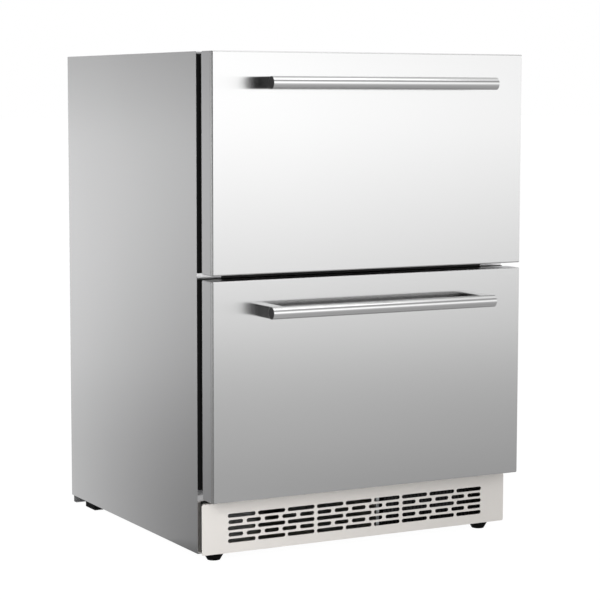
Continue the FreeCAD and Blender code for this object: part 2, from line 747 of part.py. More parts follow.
def slot_row(body, name, step, length, pitch, count):
    """One row of slots, some steps above the plate's middle row: one is drawn and the rest are patterned."""
    sketch = place_sketch(body, name + "_outline", "XZ_Plane", -(kick_front + cell.kick_sheet + PAST))
    draw_slot(sketch, -(pitch * (count - 1)) / 2, bottom + cell.slot_rise + cell.slot_row_pitch * step,
              length, cell.slot_height)
    slot = pocket_sketch(body, name, sketch, cell.kick_sheet + PAST * 2)
    return array(body, name + "_copies", slot, "H_Axis", pitch, count)


def kick_plate():
    """Slotted plate below the drawers: its lower lip reaches the base pan, its upper one stiffens it."""
    body = new_body("kick_plate")
    thick = cell.kick_sheet
    plate_back = kick_front + thick
    lip_reach = half_width - cell.kick_corner * 2
    pad = pad_loops(body, "plate", "XZ_Plane", [rectangle((-half_width, half_width), (bottom, kick_top))],
                    (kick_front, plate_back))
    round_edges(body, "plate_corners", pad, cell.kick_corner, lambda edge: parallel(edge, LENGTHWAYS))
    pad_loops(body, "low_lip", "YZ_Plane", [rectangle((plate_back, flange_back), (bottom, bottom + thick))],
              (-lip_reach, lip_reach))
    pad_loops(body, "top_lip", "YZ_Plane",
              [rectangle((plate_back, kick_front + cell.kick_lip), (kick_top - thick, kick_top))],
              (-lip_reach, lip_reach))
    for step in (-2, 0, 2):
        slot_row(body, f"long_slots_{step + 2}", step, cell.long_slot, cell.long_pitch, cell.long_count)
    for step in (-1, 1):
        slot_row(body, f"short_slots_{step + 2}", step, cell.short_slot, cell.short_pitch, cell.short_count)
    return body


keep("kick_plate", kick_plate())

# ---------------------------------------------------------------- air side of the base

baffle = cell.baffle_across
baffle_right = baffle + cell.sheet
baffle_start = kick_front + cell.kick_lip + cell.sheet
baffle_top = foam_bottom - cell.sheet
keep("air_baffle", profile("baffle_sheet", "XY_Plane", [
    (baffle, baffle_start), (baffle + cell.baffle_flange, baffle_start),
    (baffle + cell.baffle_flange, baffle_start + cell.sheet), (baffle_right, baffle_start + cell.sheet),
    (baffle_right, bay_front), (baffle, bay_front)], (pan_top, baffle_top)))


def return_bend(name, radius, at, side):
    """Half ring that joins the ends of two tubes, bulging to one side."""
    reach = cell.coil_diameter / 2 + cell.bend_edge
    across, along, up = at
    outer = rod(name + "_outside", radius + reach, reach * 2, (across, along - reach, up), "y")
    outer.Angle = 180
    quarter = -90 if side == "right" else 90
    outer.Placement.Rotation = FreeCAD.Rotation(V(0, 1, 0), quarter) * FreeCAD.Rotation(V(1, 0, 0), -90)
    start = along - reach - PAST
    inner = rod(name + "_inside", radius - reach, (reach + PAST) * 2, (across, start, up), "y")
    return cut(name, outer, inner)


def finned_coil(name, x, y, z, fins):
    """A coil: tubes that double back through a pack of thin fins, with bare ends for the pipes."""
    (left, right), (front, rear), (low, high) = x, y, z
    recess = cell.fin_edge
    body = new_body(name)
    pad_loops(body, name + "_core", "YZ_Plane",
              [rectangle((front + recess, rear - recess), (low + recess, high - recess))], (left, right))
    sketch = place_sketch(body, name + "_fin_outline", "YZ_Plane", left)
    draw_loop(sketch, rectangle((front, rear), (low, high)))
    fin = body.newObject("PartDesign::Pad", name + "_fin")
    fin.Profile = sketch
    fin.setExpression("Length", cell.fin_sheet.formula)
    array(body, name + "_fins", fin, "N_Axis", (right - left - cell.fin_sheet) / (fins - 1), fins)
    middle = (front + rear) / 2
    pitch = (high - low) / cell.coil_rows
    stub = cell.coil_stub
    radius = cell.coil_diameter / 2
    pieces = [body]
    rows = int(sheet.get("coil_rows"))
    for row in range(rows):
        pieces.append(rod(f"{name}_tube_{row}", radius, right - left + stub * 2,
                          (left - stub, middle, low + pitch / 2 + pitch * row), "x"))
    for row in range(rows - 1):
        end, side = (right + stub, "right") if row % 2 == 0 else (left - stub, "left")
        at = (end, middle, low + pitch * (row + 1))
        pieces.append(return_bend(f"{name}_bend_{row}", pitch / 2, at, side))
    return join(name + "_piece", *pieces)


condenser_left = baffle_right + cell.condenser_side_gap
condenser_right = condenser_left + cell.condenser_width
condenser_front = foot_at + cell.stud_diameter / 2 + cell.condenser_foot_gap
condenser_rear = condenser_front + cell.condenser_depth
condenser_high = pan_top + cell.condenser_height
keep("condenser", finned_coil(
    "condenser", (condenser_left, condenser_right), (condenser_front, condenser_rear),
    (pan_top, condenser_high), cell.fin_count))

shroud_front = condenser_rear + cell.shroud_gap
shroud_back = shroud_front + cell.sheet
shroud_right = half_width - cell.shroud_edge_gap
fan_across = (baffle_right + shroud_right) / 2
fan_up = (pan_top + baffle_top) / 2


def collar(name, across, up, start):
    """A short ring round a fan."""
    depth = cell.collar_depth
    outer = rod(name + "_outside", cell.shroud_hole / 2 + cell.sheet, depth, (across, start, up), "y")
    inner = rod(name + "_inside", cell.shroud_hole / 2, depth + PAST * 2, (across, start - PAST, up), "y")
    return cut(name, outer, inner)


def shroud():
    """Upright plate behind the condenser, with a collar round the fan."""
    body = new_body("shroud")
    sketch = place_sketch(body, "shroud_outline", "XZ_Plane", -shroud_back)
    draw_loop(sketch, rectangle((baffle_right, shroud_right), (pan_top, baffle_top)))
    draw_circle(sketch, fan_across, fan_up, cell.shroud_hole / 2)
    pad = body.newObject("PartDesign::Pad", "shroud_plate")
    pad.Profile = sketch
    pad.setExpression("Length", cell.sheet.formula)
    return join("shroud_piece", body, collar("shroud_collar", fan_across, fan_up, shroud_front))


keep("condenser_shroud", shroud())


def blade(radius_in, radius_out, chord, tilt_in, tilt_out, thick):
    """One fan blade: a thin plate that untwists from the hub to the tip, along +X with the air along Y."""
    sections = []
    for radius, tilt in ((radius_in, tilt_in), (radius_out, tilt_out)):
        along = V(0, math.sin(math.radians(tilt)), math.cos(math.radians(tilt)))
        across = V(0, along.z, -along.y) * (thick / 2)
        ends = [V(radius, 0, 0) + along * (chord / 2) * side for side in (-1, 1)]
        corners = [ends[0] - across, ends[1] - across, ends[1] + across, ends[0] + across]
        sections.append(Part.makePolygon(corners + corners[:1]))
    return Part.makeLoft(sections, True, True)


def fan(name, across, start, up):
    """Fan wheel on its own stub shaft, turning about Y."""
    depth = sheet.get("fan_depth")
    hub_radius = sheet.get("fan_hub") / 2
    tip_radius = sheet.get("fan_diameter") / 2
    blades = int(sheet.get("fan_blades"))
    middle = V(across.number, start.number, up.number)
    toward_back = V(0, 1, 0)
    root_tilt = sheet.get("root_tilt")
    chord = sheet.get("blade_span") / math.sin(math.radians(root_tilt))
    thick = sheet.get("blade_sheet")
    one = blade(hub_radius - thick, tip_radius + PAST, chord, root_tilt, sheet.get("tip_tilt"), thick)
    one.translate(V(0, depth / 2, 0))
    wheel = Part.makeCylinder(hub_radius, depth, V(0, 0, 0), toward_back)
    for step in range(blades):
        turned = one.copy()
        turned.rotate(V(0, 0, 0), toward_back, 360 / blades * step)
        wheel = wheel.fuse(turned)
    wheel = wheel.common(Part.makeCylinder(tip_radius, depth, V(0, 0, 0), toward_back))
    shaft_end = depth + sheet.get("motor_length") / 2
    wheel = wheel.fuse(Part.makeCylinder(sheet.get("shaft_diameter") / 2, shaft_end, V(0, 0, 0), toward_back))
    wheel = wheel.removeSplitter()
    wheel.translate(middle)
    return feature(name, wheel)


def motor(name, across, plate_back, up):
    """Fan motor on a strap that reaches back from the plate and passes behind it."""
    start = plate_back + cell.fan_depth + cell.fan_gap * 2
    rear = start + cell.motor_length
    reach = cell.shroud_hole / 2 + cell.strap_width
    thick = cell.strap_sheet
    can = rod(name + "_can", cell.motor_diameter / 2, cell.motor_length, (across, start, up), "y")
    bore = rod(name + "_bore", cell.shaft_diameter / 2 + cell.seat_gap, cell.motor_length / 2 + PAST,
               (across, start - PAST, up), "y")
    left, right = across - reach, across + reach
    corners = [(left, plate_back), (left + thick, plate_back), (left + thick, rear), (right - thick, rear),
               (right - thick, plate_back), (right, plate_back), (right, rear + thick), (left, rear + thick)]
    strap = profile(name + "_strap", "XY_Plane", corners,
                    (up - cell.strap_width / 2, up + cell.strap_width / 2))
    return group(name, cut(name + "_case", can, bore), strap)


def fan_start(plate_back):
    """Front of a fan wheel behind its plate."""
    return plate_back + cell.fan_gap


keep("condenser_fan", fan("condenser_wheel", fan_across, fan_start(shroud_back), fan_up))
keep("condenser_motor", motor("condenser_drive", fan_across, shroud_back, fan_up))

# ---------------------------------------------------------------- compressor bay

compressor_axis = back - cell.compressor_back
mount_top = pan_top + cell.grommet_height
shell_low = mount_top + cell.plate_sheet
shell_high = shell_low + cell.compressor_height


def oblong(body, name, length, depth, span):
    """An upright piece of oblong plan about the compressor's middle."""
    low, high = span
    sketch = place_sketch(body, name + "_outline", "XY_Plane", low)
    draw_slot(sketch, pipe_across, compressor_axis, length, depth)
    pad = body.newObject("PartDesign::Pad", name)
    pad.Profile = sketch
    pad.setExpression("Length", (high - low).formula)
    return pad


def dome(body, name, length, depth, start, rise, inset):
    """A domed end of the shell: oblong outlines that draw in, a little at first and more towards the end."""
    outlines = []
    for step, (climb, draw) in enumerate(((0, 0), (0.6, 0.2), (0.9, 0.55), (1, 1))):
        outline = place_sketch(body, f"{name}_outline_{step}", "XY_Plane", start + rise * climb)
        draw_slot(outline, pipe_across, compressor_axis, length - inset * 2 * draw, depth - inset * 2 * draw)
        outlines.append(outline)
    loft = body.newObject("PartDesign::AdditiveLoft", name)
    loft.Profile = outlines[0]
    loft.Sections = outlines[1:]
    loft.Ruled = True
    return loft


def lug_places():
    """The four corners where the compressor stands on its grommets."""
    return [(pipe_across + cell.lug_spread / 2 * side, compressor_axis + cell.lug_depth / 2 * end)
            for side in (-1, 1) for end in (-1, 1)]


def compressor():
    """Welded steel shell of oblong plan, domed at both ends, on a base plate with four lugs."""
    body = new_body("compressor")
    length, depth = cell.compressor_length, cell.compressor_depth
    side_low, side_high = shell_low + cell.dish_height, shell_high - cell.dome_height
    oblong(body, "shell", length, depth, (side_low, side_high))
    dome(body, "shell_top", length, depth, side_high, cell.dome_height, cell.dome_inset)
    dome(body, "shell_bottom", length, depth, side_low, -cell.dish_height, cell.dish_inset)
    seam = (shell_low + shell_high) / 2
    band = cell.weld_band
    oblong(body, "weld", length + band, depth + band, (seam - band / 2, seam + band / 2))
    rim = cell.grommet_diameter / 2 + cell.plate_sheet
    across, along = cell.lug_spread / 2 + rim, cell.lug_depth / 2 + rim
    plate = rectangle((pipe_across - across, pipe_across + across),
                      (compressor_axis - along, compressor_axis + along))
    foot_plate = pad_loops(body, "foot_plate", "XY_Plane", [plate], (mount_top, shell_low))
    round_edges(body, "plate_round", foot_plate, rim / 2,
                lambda edge: parallel(edge, UPRIGHT) and edge.CenterOfMass.z < shell_low.number
                and abs(edge.CenterOfMass.x - pipe_across.number) > sheet.get("lug_spread") / 2)
    return body


keep("compressor", compressor())
keep("compressor_grommets", group("grommets", *[
    rod(f"grommet_{index}", cell.grommet_diameter / 2, cell.grommet_height, (across, along, pan_top), "z")
    for index, (across, along) in enumerate(lug_places())]))


def relay_cover():
    """Plastic cover over the terminals, shaped to the end of the shell."""
    end = pipe_across + cell.compressor_length / 2
    middle = (shell_low + shell_high) / 2 - cell.weld_band / 2 - cell.fit_gap
    case = block("relay_case", (end - cell.relay_depth / 2, end + cell.relay_depth / 2),
                 (compressor_axis - cell.relay_width / 2, compressor_axis + cell.relay_width / 2),
                 (middle - cell.relay_height, middle))
    shell = rod("relay_seat", cell.compressor_depth / 2 + cell.seat_gap, cell.compressor_height,
                (end - cell.compressor_depth / 2, compressor_axis, shell_low), "z")
    return cut("relay_piece", case, shell)


keep("relay_cover", relay_cover())


def pipe(name, places):
    """A bent pipe: straight runs through the places, joined by arcs of one bend."""
    radius = sheet.get("pipe_diameter") / 2
    bend = sheet.get("pipe_bend")
    points = [V(*(place.number for place in spot)) for spot in places]
    edges = []
    start = points[0]
    for before, corner, after in zip(points, points[1:], points[2:]):
        into = (corner - before).normalize()
        out = (after - corner).normalize()
        reach = bend * math.tan(into.getAngle(out) / 2)
        first, last = corner - into * reach, corner + out * reach
        inward = (out - into).normalize()
        centre = corner + inward * (bend / math.cos(into.getAngle(out) / 2))
        edges.append(Part.makeLine(start, first))
        edges.append(Part.Arc(first, centre - inward * bend, last).toShape())
        start = last
    edges.append(Part.makeLine(start, points[-1]))
    ring = Part.Wire(Part.makeCircle(radius, points[0], points[1] - points[0]))
    return feature(name, Part.Wire(edges).makePipeShell([ring], True, True))


row_pitch = cell.condenser_height / cell.coil_rows
coil_stub = cell.coil_stub
pipe_side = half_width - cell.shroud_edge_gap / 2
port_up = condenser_high - row_pitch / 2
port_along = (condenser_front + condenser_rear) / 2
pipe_drop = compressor_axis - cell.compressor_depth / 2 - cell.pipe_out
discharge_up = shell_low + cell.port_rise
keep("discharge_line", pipe("discharge_pipe", [
    (pipe_across, compressor_axis - cell.compressor_depth / 2, discharge_up),
    (pipe_across, pipe_drop, discharge_up), (pipe_across, pipe_drop, port_up),
    (pipe_side, pipe_drop, port_up), (pipe_side, port_along, port_up),
    (condenser_right + coil_stub, port_along, port_up)]))


def evaporation_pan():
    """Open tray that catches the defrost water beside the compressor."""
    body = new_body("drip_tray")
    across = (-cell.drip_across - cell.drip_width / 2, -cell.drip_across + cell.drip_width / 2)
    along = (drain_at - cell.drip_depth / 2, drain_at + cell.drip_depth / 2)
    wall = cell.drip_wall
    high = pan_top + cell.drip_height
    pad = pad_loops(body, "tray_block", "XY_Plane", [rectangle(across, along)], (pan_top, high))
    round_edges(body, "tray_corners", pad, cell.drip_radius, lambda edge: parallel(edge, UPRIGHT))
    inside = rectangle((across[0] + wall, across[1] - wall), (along[0] + wall, along[1] - wall))
    pocket_loops(body, "tray_inside", "XY_Plane", [inside], (pan_top + wall, high + PAST))
    return body


keep("evaporation_pan", evaporation_pan())


def drain_tube():
    """Plastic tube from the cold compartment's floor to the evaporation pan, with a collar at the top."""
    low = pan_top + cell.drip_height / 2
    length = step_top - low
    tube = rod("drain_outside", cell.drain_diameter / 2, length, (drain_across, drain_at, low), "z")
    rim_at = (drain_across, drain_at, step_top)
    rim = rod("drain_rim", cell.drain_rim / 2, cell.drain_rim_height, rim_at, "z")
    bore = rod("drain_inside", cell.drain_bore / 2, length + cell.drain_rim_height + PAST * 2,
               (drain_across, drain_at, low - PAST), "z")
    return cut("drain_piece", join("drain_body", tube, rim), bore)


keep("drain_tube", drain_tube())


def control_box():
    """Plastic box for the electronic control, standing in the left front of the bay."""
    body = new_body("control_box")
    left = -panel_inside + cell.pan_sheet + cell.box_gap
    front = bay_front + cell.box_gap
    sole = rectangle((left, left + cell.box_width), (front, front + cell.box_depth))
    pad = pad_loops(body, "control_case", "XY_Plane", [sole], (pan_top, pan_top + cell.box_height))
    round_edges(body, "control_edges", pad, cell.box_radius, lambda edge: parallel(edge, UPRIGHT))
    return body


keep("control_box", control_box())

cover_back = back - cell.bay_cover_inset
cover_front = cover_back - cell.sheet
cover_side = panel_inside - cell.pan_sheet - cell.fit_gap
gland_across = cell.gland_inset - half_width
gland_up = bottom + cell.gland_rise


def bay_cover():
    """Vented steel cover over the back of the compressor bay, with the cord's hole."""
    body = new_body("bay_cover")
    sketch = place_sketch(body, "bay_cover_outline", "XZ_Plane", -cover_back)
    draw_loop(sketch, rectangle((-cover_side, cover_side), (pan_top, bay_top)))
    draw_circle(sketch, gland_across, gland_up, cell.gland_diameter / 2)
    pad = body.newObject("PartDesign::Pad", "bay_cover_plate")
    pad.Profile = sketch
    pad.setExpression("Length", cell.sheet.formula)
    lip = rectangle((cover_front - cell.bay_cover_lip, cover_front), (bay_top - cell.sheet, bay_top))
    pad_loops(body, "bay_cover_fold", "YZ_Plane", [lip], (-cover_side, cover_side))
    columns, rows = cell.louvre_columns, cell.louvre_rows
    first = -(cell.louvre_spread * (columns - 1)) / 2
    reach, half = cell.louvre_width / 2, cell.louvre_height / 2
    span = (cover_front - PAST, cover_back + PAST)
    for row in range(int(sheet.get("louvre_rows"))):
        up = (pan_top + bay_top) / 2 + cell.louvre_pitch * (row - (rows - 1) / 2)
        outline = rectangle((first - reach, first + reach), (up - half, up + half))
        vent = pocket_loops(body, f"vent_{row}", "XZ_Plane", [outline], span)
        array(body, f"vents_{row}", vent, "H_Axis", cell.louvre_spread, columns)
    return body


keep("rear_bay_cover", bay_cover())


def cord_gland():
    """Plastic gland in the bay cover: a neck through the hole, with a flange on each face."""
    flange = cell.gland_thick
    inner_face = cover_front - flange
    reach = cell.sheet + flange * 2
    start = (gland_across, inner_face, gland_up)
    neck = rod("gland_neck", cell.gland_diameter / 2 - cell.seat_gap, reach, start, "y")
    outer = rod("gland_outer", cell.gland_flange / 2, flange, (gland_across, cover_back, gland_up), "y")
    inner = rod("gland_inner", cell.gland_flange / 2, flange, start, "y")
    bore_at = (gland_across, inner_face - PAST, gland_up)
    bore = rod("gland_hole", cell.gland_bore / 2, reach + PAST * 2, bore_at, "y")
    return cut("gland_piece", join("gland_body", neck, outer, inner), bore)


keep("cord_gland", cord_gland())

# ---------------------------------------------------------------- cold side, behind the drawers

coil_side = cell.coil_width / 2
bend_reach = cell.coil_height / cell.coil_rows / 2 + cell.coil_diameter / 2 + cell.bend_edge
pipe_turn = coil_side + coil_stub + bend_reach + cell.pipe_diameter
cooler_side = pipe_turn + cell.pipe_diameter / 2 + cell.cooler_side_gap
cooler_front = cavity_back - cell.cooler_depth
cooler_low = step_top + cell.cooler_foot
cooler_high = cavity_top - cell.cooler_top_gap
cooler_fan_up = cooler_low + cell.cooler_fan_rise
wall_back = cooler_front + cell.cooler_sheet


def evaporator_cover():
    """Plastic cover over the evaporator: open at the back and below, with a fan hole and air outlets."""
    body = new_body("cooler")
    outside = rectangle((-cooler_side, cooler_side), (cooler_front, cavity_back))
    pad = pad_loops(body, "cooler_block", "XY_Plane", [outside], (cooler_low, cooler_high))
    round_edges(body, "cooler_edges", pad, cell.cooler_radius,
                lambda edge: edge.CenterOfMass.y < cooler_front.number + NEAR
                and edge.CenterOfMass.z > cooler_low.number + NEAR)
    wall = cell.cooler_sheet
    inside = rectangle((wall - cooler_side, cooler_side - wall), (wall_back, cavity_back + PAST))
    pocket_loops(body, "cooler_inside", "XY_Plane", [inside], (cooler_low - PAST, cooler_high - wall))
    hole = place_sketch(body, "cooler_hole_outline", "XZ_Plane", -(wall_back + PAST))
    draw_circle(hole, ZERO, cooler_fan_up, cell.shroud_hole / 2)
    pocket_sketch(body, "cooler_hole", hole, wall + PAST * 2)
    outlets = place_sketch(body, "outlet_outline", "XZ_Plane", -(wall_back + PAST))
    draw_slot(outlets, -(cell.outlet_pitch * (cell.outlet_count - 1)) / 2, cooler_high - cell.coil_drop / 2,
              cell.outlet_width, cell.outlet_height)
    outlet = pocket_sketch(body, "outlet", outlets, wall + PAST * 2)
    array(body, "outlets", outlet, "H_Axis", cell.outlet_pitch, cell.outlet_count)
    return body


keep("evaporator_cover", evaporator_cover())
keep("evaporator_fan", fan("cold_wheel", ZERO, fan_start(wall_back), cooler_fan_up))
keep("evaporator_motor", motor("cold_drive", ZERO, wall_back, cooler_fan_up))

coil_high = cooler_high - cell.coil_drop
coil_low = coil_high - cell.coil_height
keep("evaporator", finned_coil("evaporator", (-coil_side, coil_side),
                               (cavity_back - cell.coil_depth, cavity_back), (coil_low, coil_high),
                               cell.coil_fins))

cold_port = coil_high - cell.coil_height / cell.coil_rows / 2
cold_along = cavity_back - cell.coil_depth / 2
pipe_back_up = step_top + cell.cooler_fan_rise
keep("suction_line", pipe("suction_pipe", [
    (coil_side + coil_stub, cold_along, cold_port), (pipe_turn, cold_along, cold_port),
    (pipe_turn, cold_along, pipe_back_up), (pipe_across, cold_along, pipe_back_up),
    (pipe_across, cold_along, shell_high)]))


def lamp():
    """Light bar on the ceiling, with rounded lower edges."""
    body = new_body("lamp")
    along = (cabinet_front + cell.lamp_back, cabinet_front + cell.lamp_back + cell.lamp_depth)
    low = cavity_top - cell.lamp_height
    pad = pad_loops(body, "lamp_bar", "YZ_Plane", [rectangle(along, (low, cavity_top))],
                    (-cell.lamp_width / 2, cell.lamp_width / 2))
    round_edges(body, "lamp_edges", pad, cell.lamp_radius,
                lambda edge: edge.CenterOfMass.z < low.number + NEAR)
    return body


keep("lamp", lamp())

# ---------------------------------------------------------------- the two drawers


def front_pan(name, across, up, y, radius, from_front):
    """A shallow sheet pan, open to the front or the back, with rounded edges round its closed side."""
    front, rear = y
    closed, open_end = (rear, front - PAST) if from_front else (front, rear + PAST)
    body = new_body(name)
    pad = pad_loops(body, name + "_block", "XZ_Plane", [rectangle(across, up)], (front, rear))
    round_edges(body, name + "_round", pad, radius,
                lambda edge: parallel(edge, LENGTHWAYS) or abs(edge.CenterOfMass.y - closed.number) < NEAR)
    sheet_in = cell.sheet
    inside = rectangle((across[0] + sheet_in, across[1] - sheet_in), (up[0] + sheet_in, up[1] - sheet_in))
    span = (open_end, closed - sheet_in) if from_front else (closed + sheet_in, open_end)
    pocket_loops(body, name + "_inside", "XZ_Plane", [inside], span)
    return body


def screw_holes(name, up, radius, start, length):
    """Two round tools on the axes of the handle screws."""
    across = cell.handle_length / 2 - cell.post_width / 2
    return [rod(f"{name}_{side}", radius, length, (place, start, up), "y")
            for side, place in (("left", -across), ("right", across))]


def gasket(name, up):
    """Magnetic bellows gasket: a frame that widens towards the cabinet, with a fold all round."""
    low, high = up
    slant = cell.gasket_slant
    side = half_width - cell.gasket_side_inset
    band = cell.gasket_width
    body = new_body(name)
    narrow = place_sketch(body, name + "_narrow", "XZ_Plane", -tray_back)
    draw_loop(narrow, rectangle((slant - side, side - slant), (low + slant, high - slant)))
    wide = place_sketch(body, name + "_wide", "XZ_Plane", -cabinet_front)
    draw_loop(wide, rectangle((-side, side), (low, high)))
    loft = body.newObject("PartDesign::AdditiveLoft", name + "_loft")
    loft.Profile = narrow
    loft.Sections = [wide]
    loft.Ruled = True
    inside = rectangle((band - side, side - band), (low + band, high - band))
    pocket_loops(body, name + "_inside", "XZ_Plane", [inside], (tray_back - PAST, cabinet_front + PAST))
    middle = (tray_back + cabinet_front) / 2
    fold = (middle - slant / 2, middle + slant / 2)
    rim = rectangle((-side - PAST, side + PAST), (low - PAST, high + PAST))
    core = rectangle((slant * 2 - side, side - slant * 2), (low + slant * 2, high - slant * 2))
    pocket_loops(body, name + "_fold", "XZ_Plane", [rim, core], fold)
    return body


def handle_post(name, axis_up):
    """Left handle post: a rounded bar whose end is hollowed to seat the tube, with a blind screw hole."""
    outer = -cell.handle_length / 2
    reach = cell.handle_diameter / 2 - cell.post_inset
    body = new_body(name)
    pad = pad_loops(body, name + "_bar", "XZ_Plane",
                    [rectangle((outer, outer + cell.post_width), (axis_up - reach, axis_up + reach))],
                    (handle_axis, face))
    round_edges(body, name + "_edges", pad, cell.post_radius, lambda edge: parallel(edge, LENGTHWAYS))
    seat = rod(name + "_seat", cell.handle_diameter / 2 + cell.seat_gap, cell.post_width + PAST * 2,
               (outer - PAST, handle_axis, axis_up), "x")
    screw = rod(name + "_thread", cell.screw_diameter / 2 + cell.seat_gap, cell.screw_length + PAST * 2,
                (outer + cell.post_width / 2, face - cell.screw_length - PAST, axis_up), "y")
    return cut(name + "_piece", body, seat, screw)


def handle(prefix, axis_up):
    """Straight tube on two posts, with a plug in each end, fixed by screws from inside the front."""
    length = cell.handle_length
    bore_radius = cell.handle_diameter / 2 - cell.handle_wall
    start = -length / 2
    tube = rod(prefix + "_tube_outside", cell.handle_diameter / 2, length, (start, handle_axis, axis_up), "x")
    bore = rod(prefix + "_tube_inside", bore_radius, length + PAST * 2,
               (start - PAST, handle_axis, axis_up), "x")
    keep(prefix + "_handle_tube", cut(prefix + "_tube", tube, bore))
    cap = rod(prefix + "_cap", bore_radius - cell.seat_gap, cell.cap_thick,
              (start, handle_axis, axis_up), "x")
    keep(prefix + "_handle_caps", both_sides(prefix + "_caps", cap))
    keep(prefix + "_handle_posts", both_sides(prefix + "_posts", handle_post(prefix + "_post", axis_up)))
    heads = screw_holes(prefix + "_head", axis_up, cell.screw_head_diameter / 2, face + cell.sheet,
                        cell.screw_head_height)
    shanks = screw_holes(prefix + "_shank", axis_up, cell.screw_diameter / 2, face - cell.screw_length,
                         cell.screw_length + cell.sheet + cell.screw_head_height)
    screws = [join(f"{prefix}_screw_{index}", *pair) for index, pair in enumerate(zip(heads, shanks))]
    keep(prefix + "_handle_screws", group(prefix + "_screws", *screws))


def channel(name, outer, inner, half_height, span, opens_inward=True):
    """A slide member: a steel channel on its side, between two places across the left slide."""
    body, thick = new_body(name), cell.slide_sheet
    (axis_up, reach), (left, right) = half_height, (outer, inner)
    low, high = axis_up - reach, axis_up + reach
    if opens_inward:
        corners = [(left, low), (right, low), (right, low + thick), (left + thick, low + thick),
                   (left + thick, high - thick), (right, high - thick), (right, high), (left, high)]
    else:
        corners = [(left, low), (right, low), (right, high), (left, high), (left, high - thick),
                   (right - thick, high - thick), (right - thick, low + thick), (left, low + thick)]
    pad_loops(body, name + "_channel", "XZ_Plane", [corners], span)
    return body


def slides(prefix, axis_up):
    """Three nested channels on each side: one on the liner, one on the drawer and one between them."""
    liner_face = -flange_inside
    thick, gap = cell.slide_sheet, cell.slide_gap
    start = cabinet_front + cell.slide_setback
    end = start + cell.slide_length
    outer_reach = cell.slide_height / 2
    middle_reach = outer_reach - thick - gap
    inner_reach = middle_reach - thick - gap
    inner_face = liner_face + cell.slide_thick
    fixed = channel(prefix + "_fixed", liner_face, inner_face - cell.slide_rest * 2, (axis_up, outer_reach),
                    (start, end))
    keep(prefix + "_cabinet_slides", both_sides(prefix + "_fixed_pair", fixed))
    running = channel(prefix + "_running", liner_face + thick + gap, inner_face - cell.slide_rest,
                      (axis_up, middle_reach), (start, end))
    keep(prefix + "_middle_slides", both_sides(prefix + "_running_pair", running))
    carried = channel(prefix + "_carried", liner_face + (thick + gap) * 2, inner_face,
                      (axis_up, inner_reach), (tray_back, end), opens_inward=False)
    tab = rectangle((inner_face - thick, inner_face + cell.slide_tab),
                    (axis_up - inner_reach, axis_up + inner_reach))
    pad_loops(carried, prefix + "_tab", "XZ_Plane", [tab], (tray_back, tray_back + thick))
    keep(prefix + "_drawer_slides", both_sides(prefix + "_carried_pair", carried))


def bin_shell(prefix, low, height, rim_back):
    """Open steel bin with rounded corners and a turned-out rim at the back."""
    side = flange_inside - cell.slide_thick - cell.fit_gap
    front = tray_back + cell.slide_sheet + cell.fit_gap
    rear = rim_back - cell.bin_rim
    high = low + height
    body = new_body(prefix + "_bin_body")
    plan = rectangle((-side, side), (front, rear))
    pad = pad_loops(body, prefix + "_bin_block", "XY_Plane", [plan], (low, high))
    rounded = round_edges(body, prefix + "_bin_round", pad, cell.bin_radius,
                          lambda edge: parallel(edge, UPRIGHT))
    doc.recompute()
    faces = rounded.Shape.Faces
    top_face = max(range(len(faces)), key=lambda index: faces[index].CenterOfMass.z)
    shell = body.newObject("PartDesign::Thickness", prefix + "_bin_shell")
    shell.Base = (rounded, [f"Face{top_face + 1}"])
    shell.Reversed = True
    shell.setExpression("Value", cell.bin_sheet.formula)
    rim = rectangle((cell.bin_radius - side, side - cell.bin_radius), (rear, rear + cell.bin_rim))
    pad_loops(body, prefix + "_bin_lip", "XY_Plane", [rim], (high - cell.bin_sheet, high))
    return body


def drawer(prefix, low, high, gasket_up, slide_up, bin_up, bin_height, bin_back):
    """One drawer: an insulated front with its gasket and handle, and a bin carried on telescopic slides."""
    across, up = (-half_width, half_width), (low, high)
    axis_up = high - cell.handle_drop
    seam = face + cell.skin_return
    hole_radius = cell.screw_diameter / 2 + cell.seat_gap
    skin = front_pan(prefix + "_skin", across, up, (face, seam), cell.face_radius, from_front=False)
    keep(prefix + "_front_skin", cut(prefix + "_skin_piece", skin, *screw_holes(
        prefix + "_skin_hole", axis_up, hole_radius, face - PAST, cell.sheet + PAST * 2)))
    tray = front_pan(prefix + "_tray", across, up, (seam + cell.seam_gap, tray_back), cell.tray_radius,
                     from_front=True)
    keep(prefix + "_front_tray", tray)
    core = block(prefix + "_core", (-panel_inside, panel_inside),
                 (face + cell.sheet, tray_back - cell.sheet), (low + cell.sheet, high - cell.sheet))
    keep(prefix + "_front_foam", cut(prefix + "_core_piece", core, *screw_holes(
        prefix + "_core_hole", axis_up, cell.screw_head_diameter / 2 + cell.seat_gap, face,
        cell.sheet + cell.screw_head_height + cell.fit_gap)))
    keep(prefix + "_gasket", gasket(prefix + "_gasket_frame", gasket_up))
    handle(prefix, axis_up)
    slides(prefix, low + slide_up)
    keep(prefix + "_bin", bin_shell(prefix, low + bin_up, bin_height, bin_back))


drawer("upper", upper_low, top, (upper_low + cell.upper_gasket_low_inset, top - cell.upper_gasket_top_inset),
       cell.upper_slide_up, cell.upper_bin_up, cell.upper_bin_height, cooler_front - cell.upper_bin_gap)
drawer("lower", lower_low, lower_high,
       (lower_low + cell.lower_gasket_low_inset, lower_high - cell.lower_gasket_top_inset),
       cell.lower_slide_up, cell.lower_bin_up, cell.lower_bin_height, step_front - cell.lower_bin_gap)

# ---------------------------------------------------------------- write the pieces

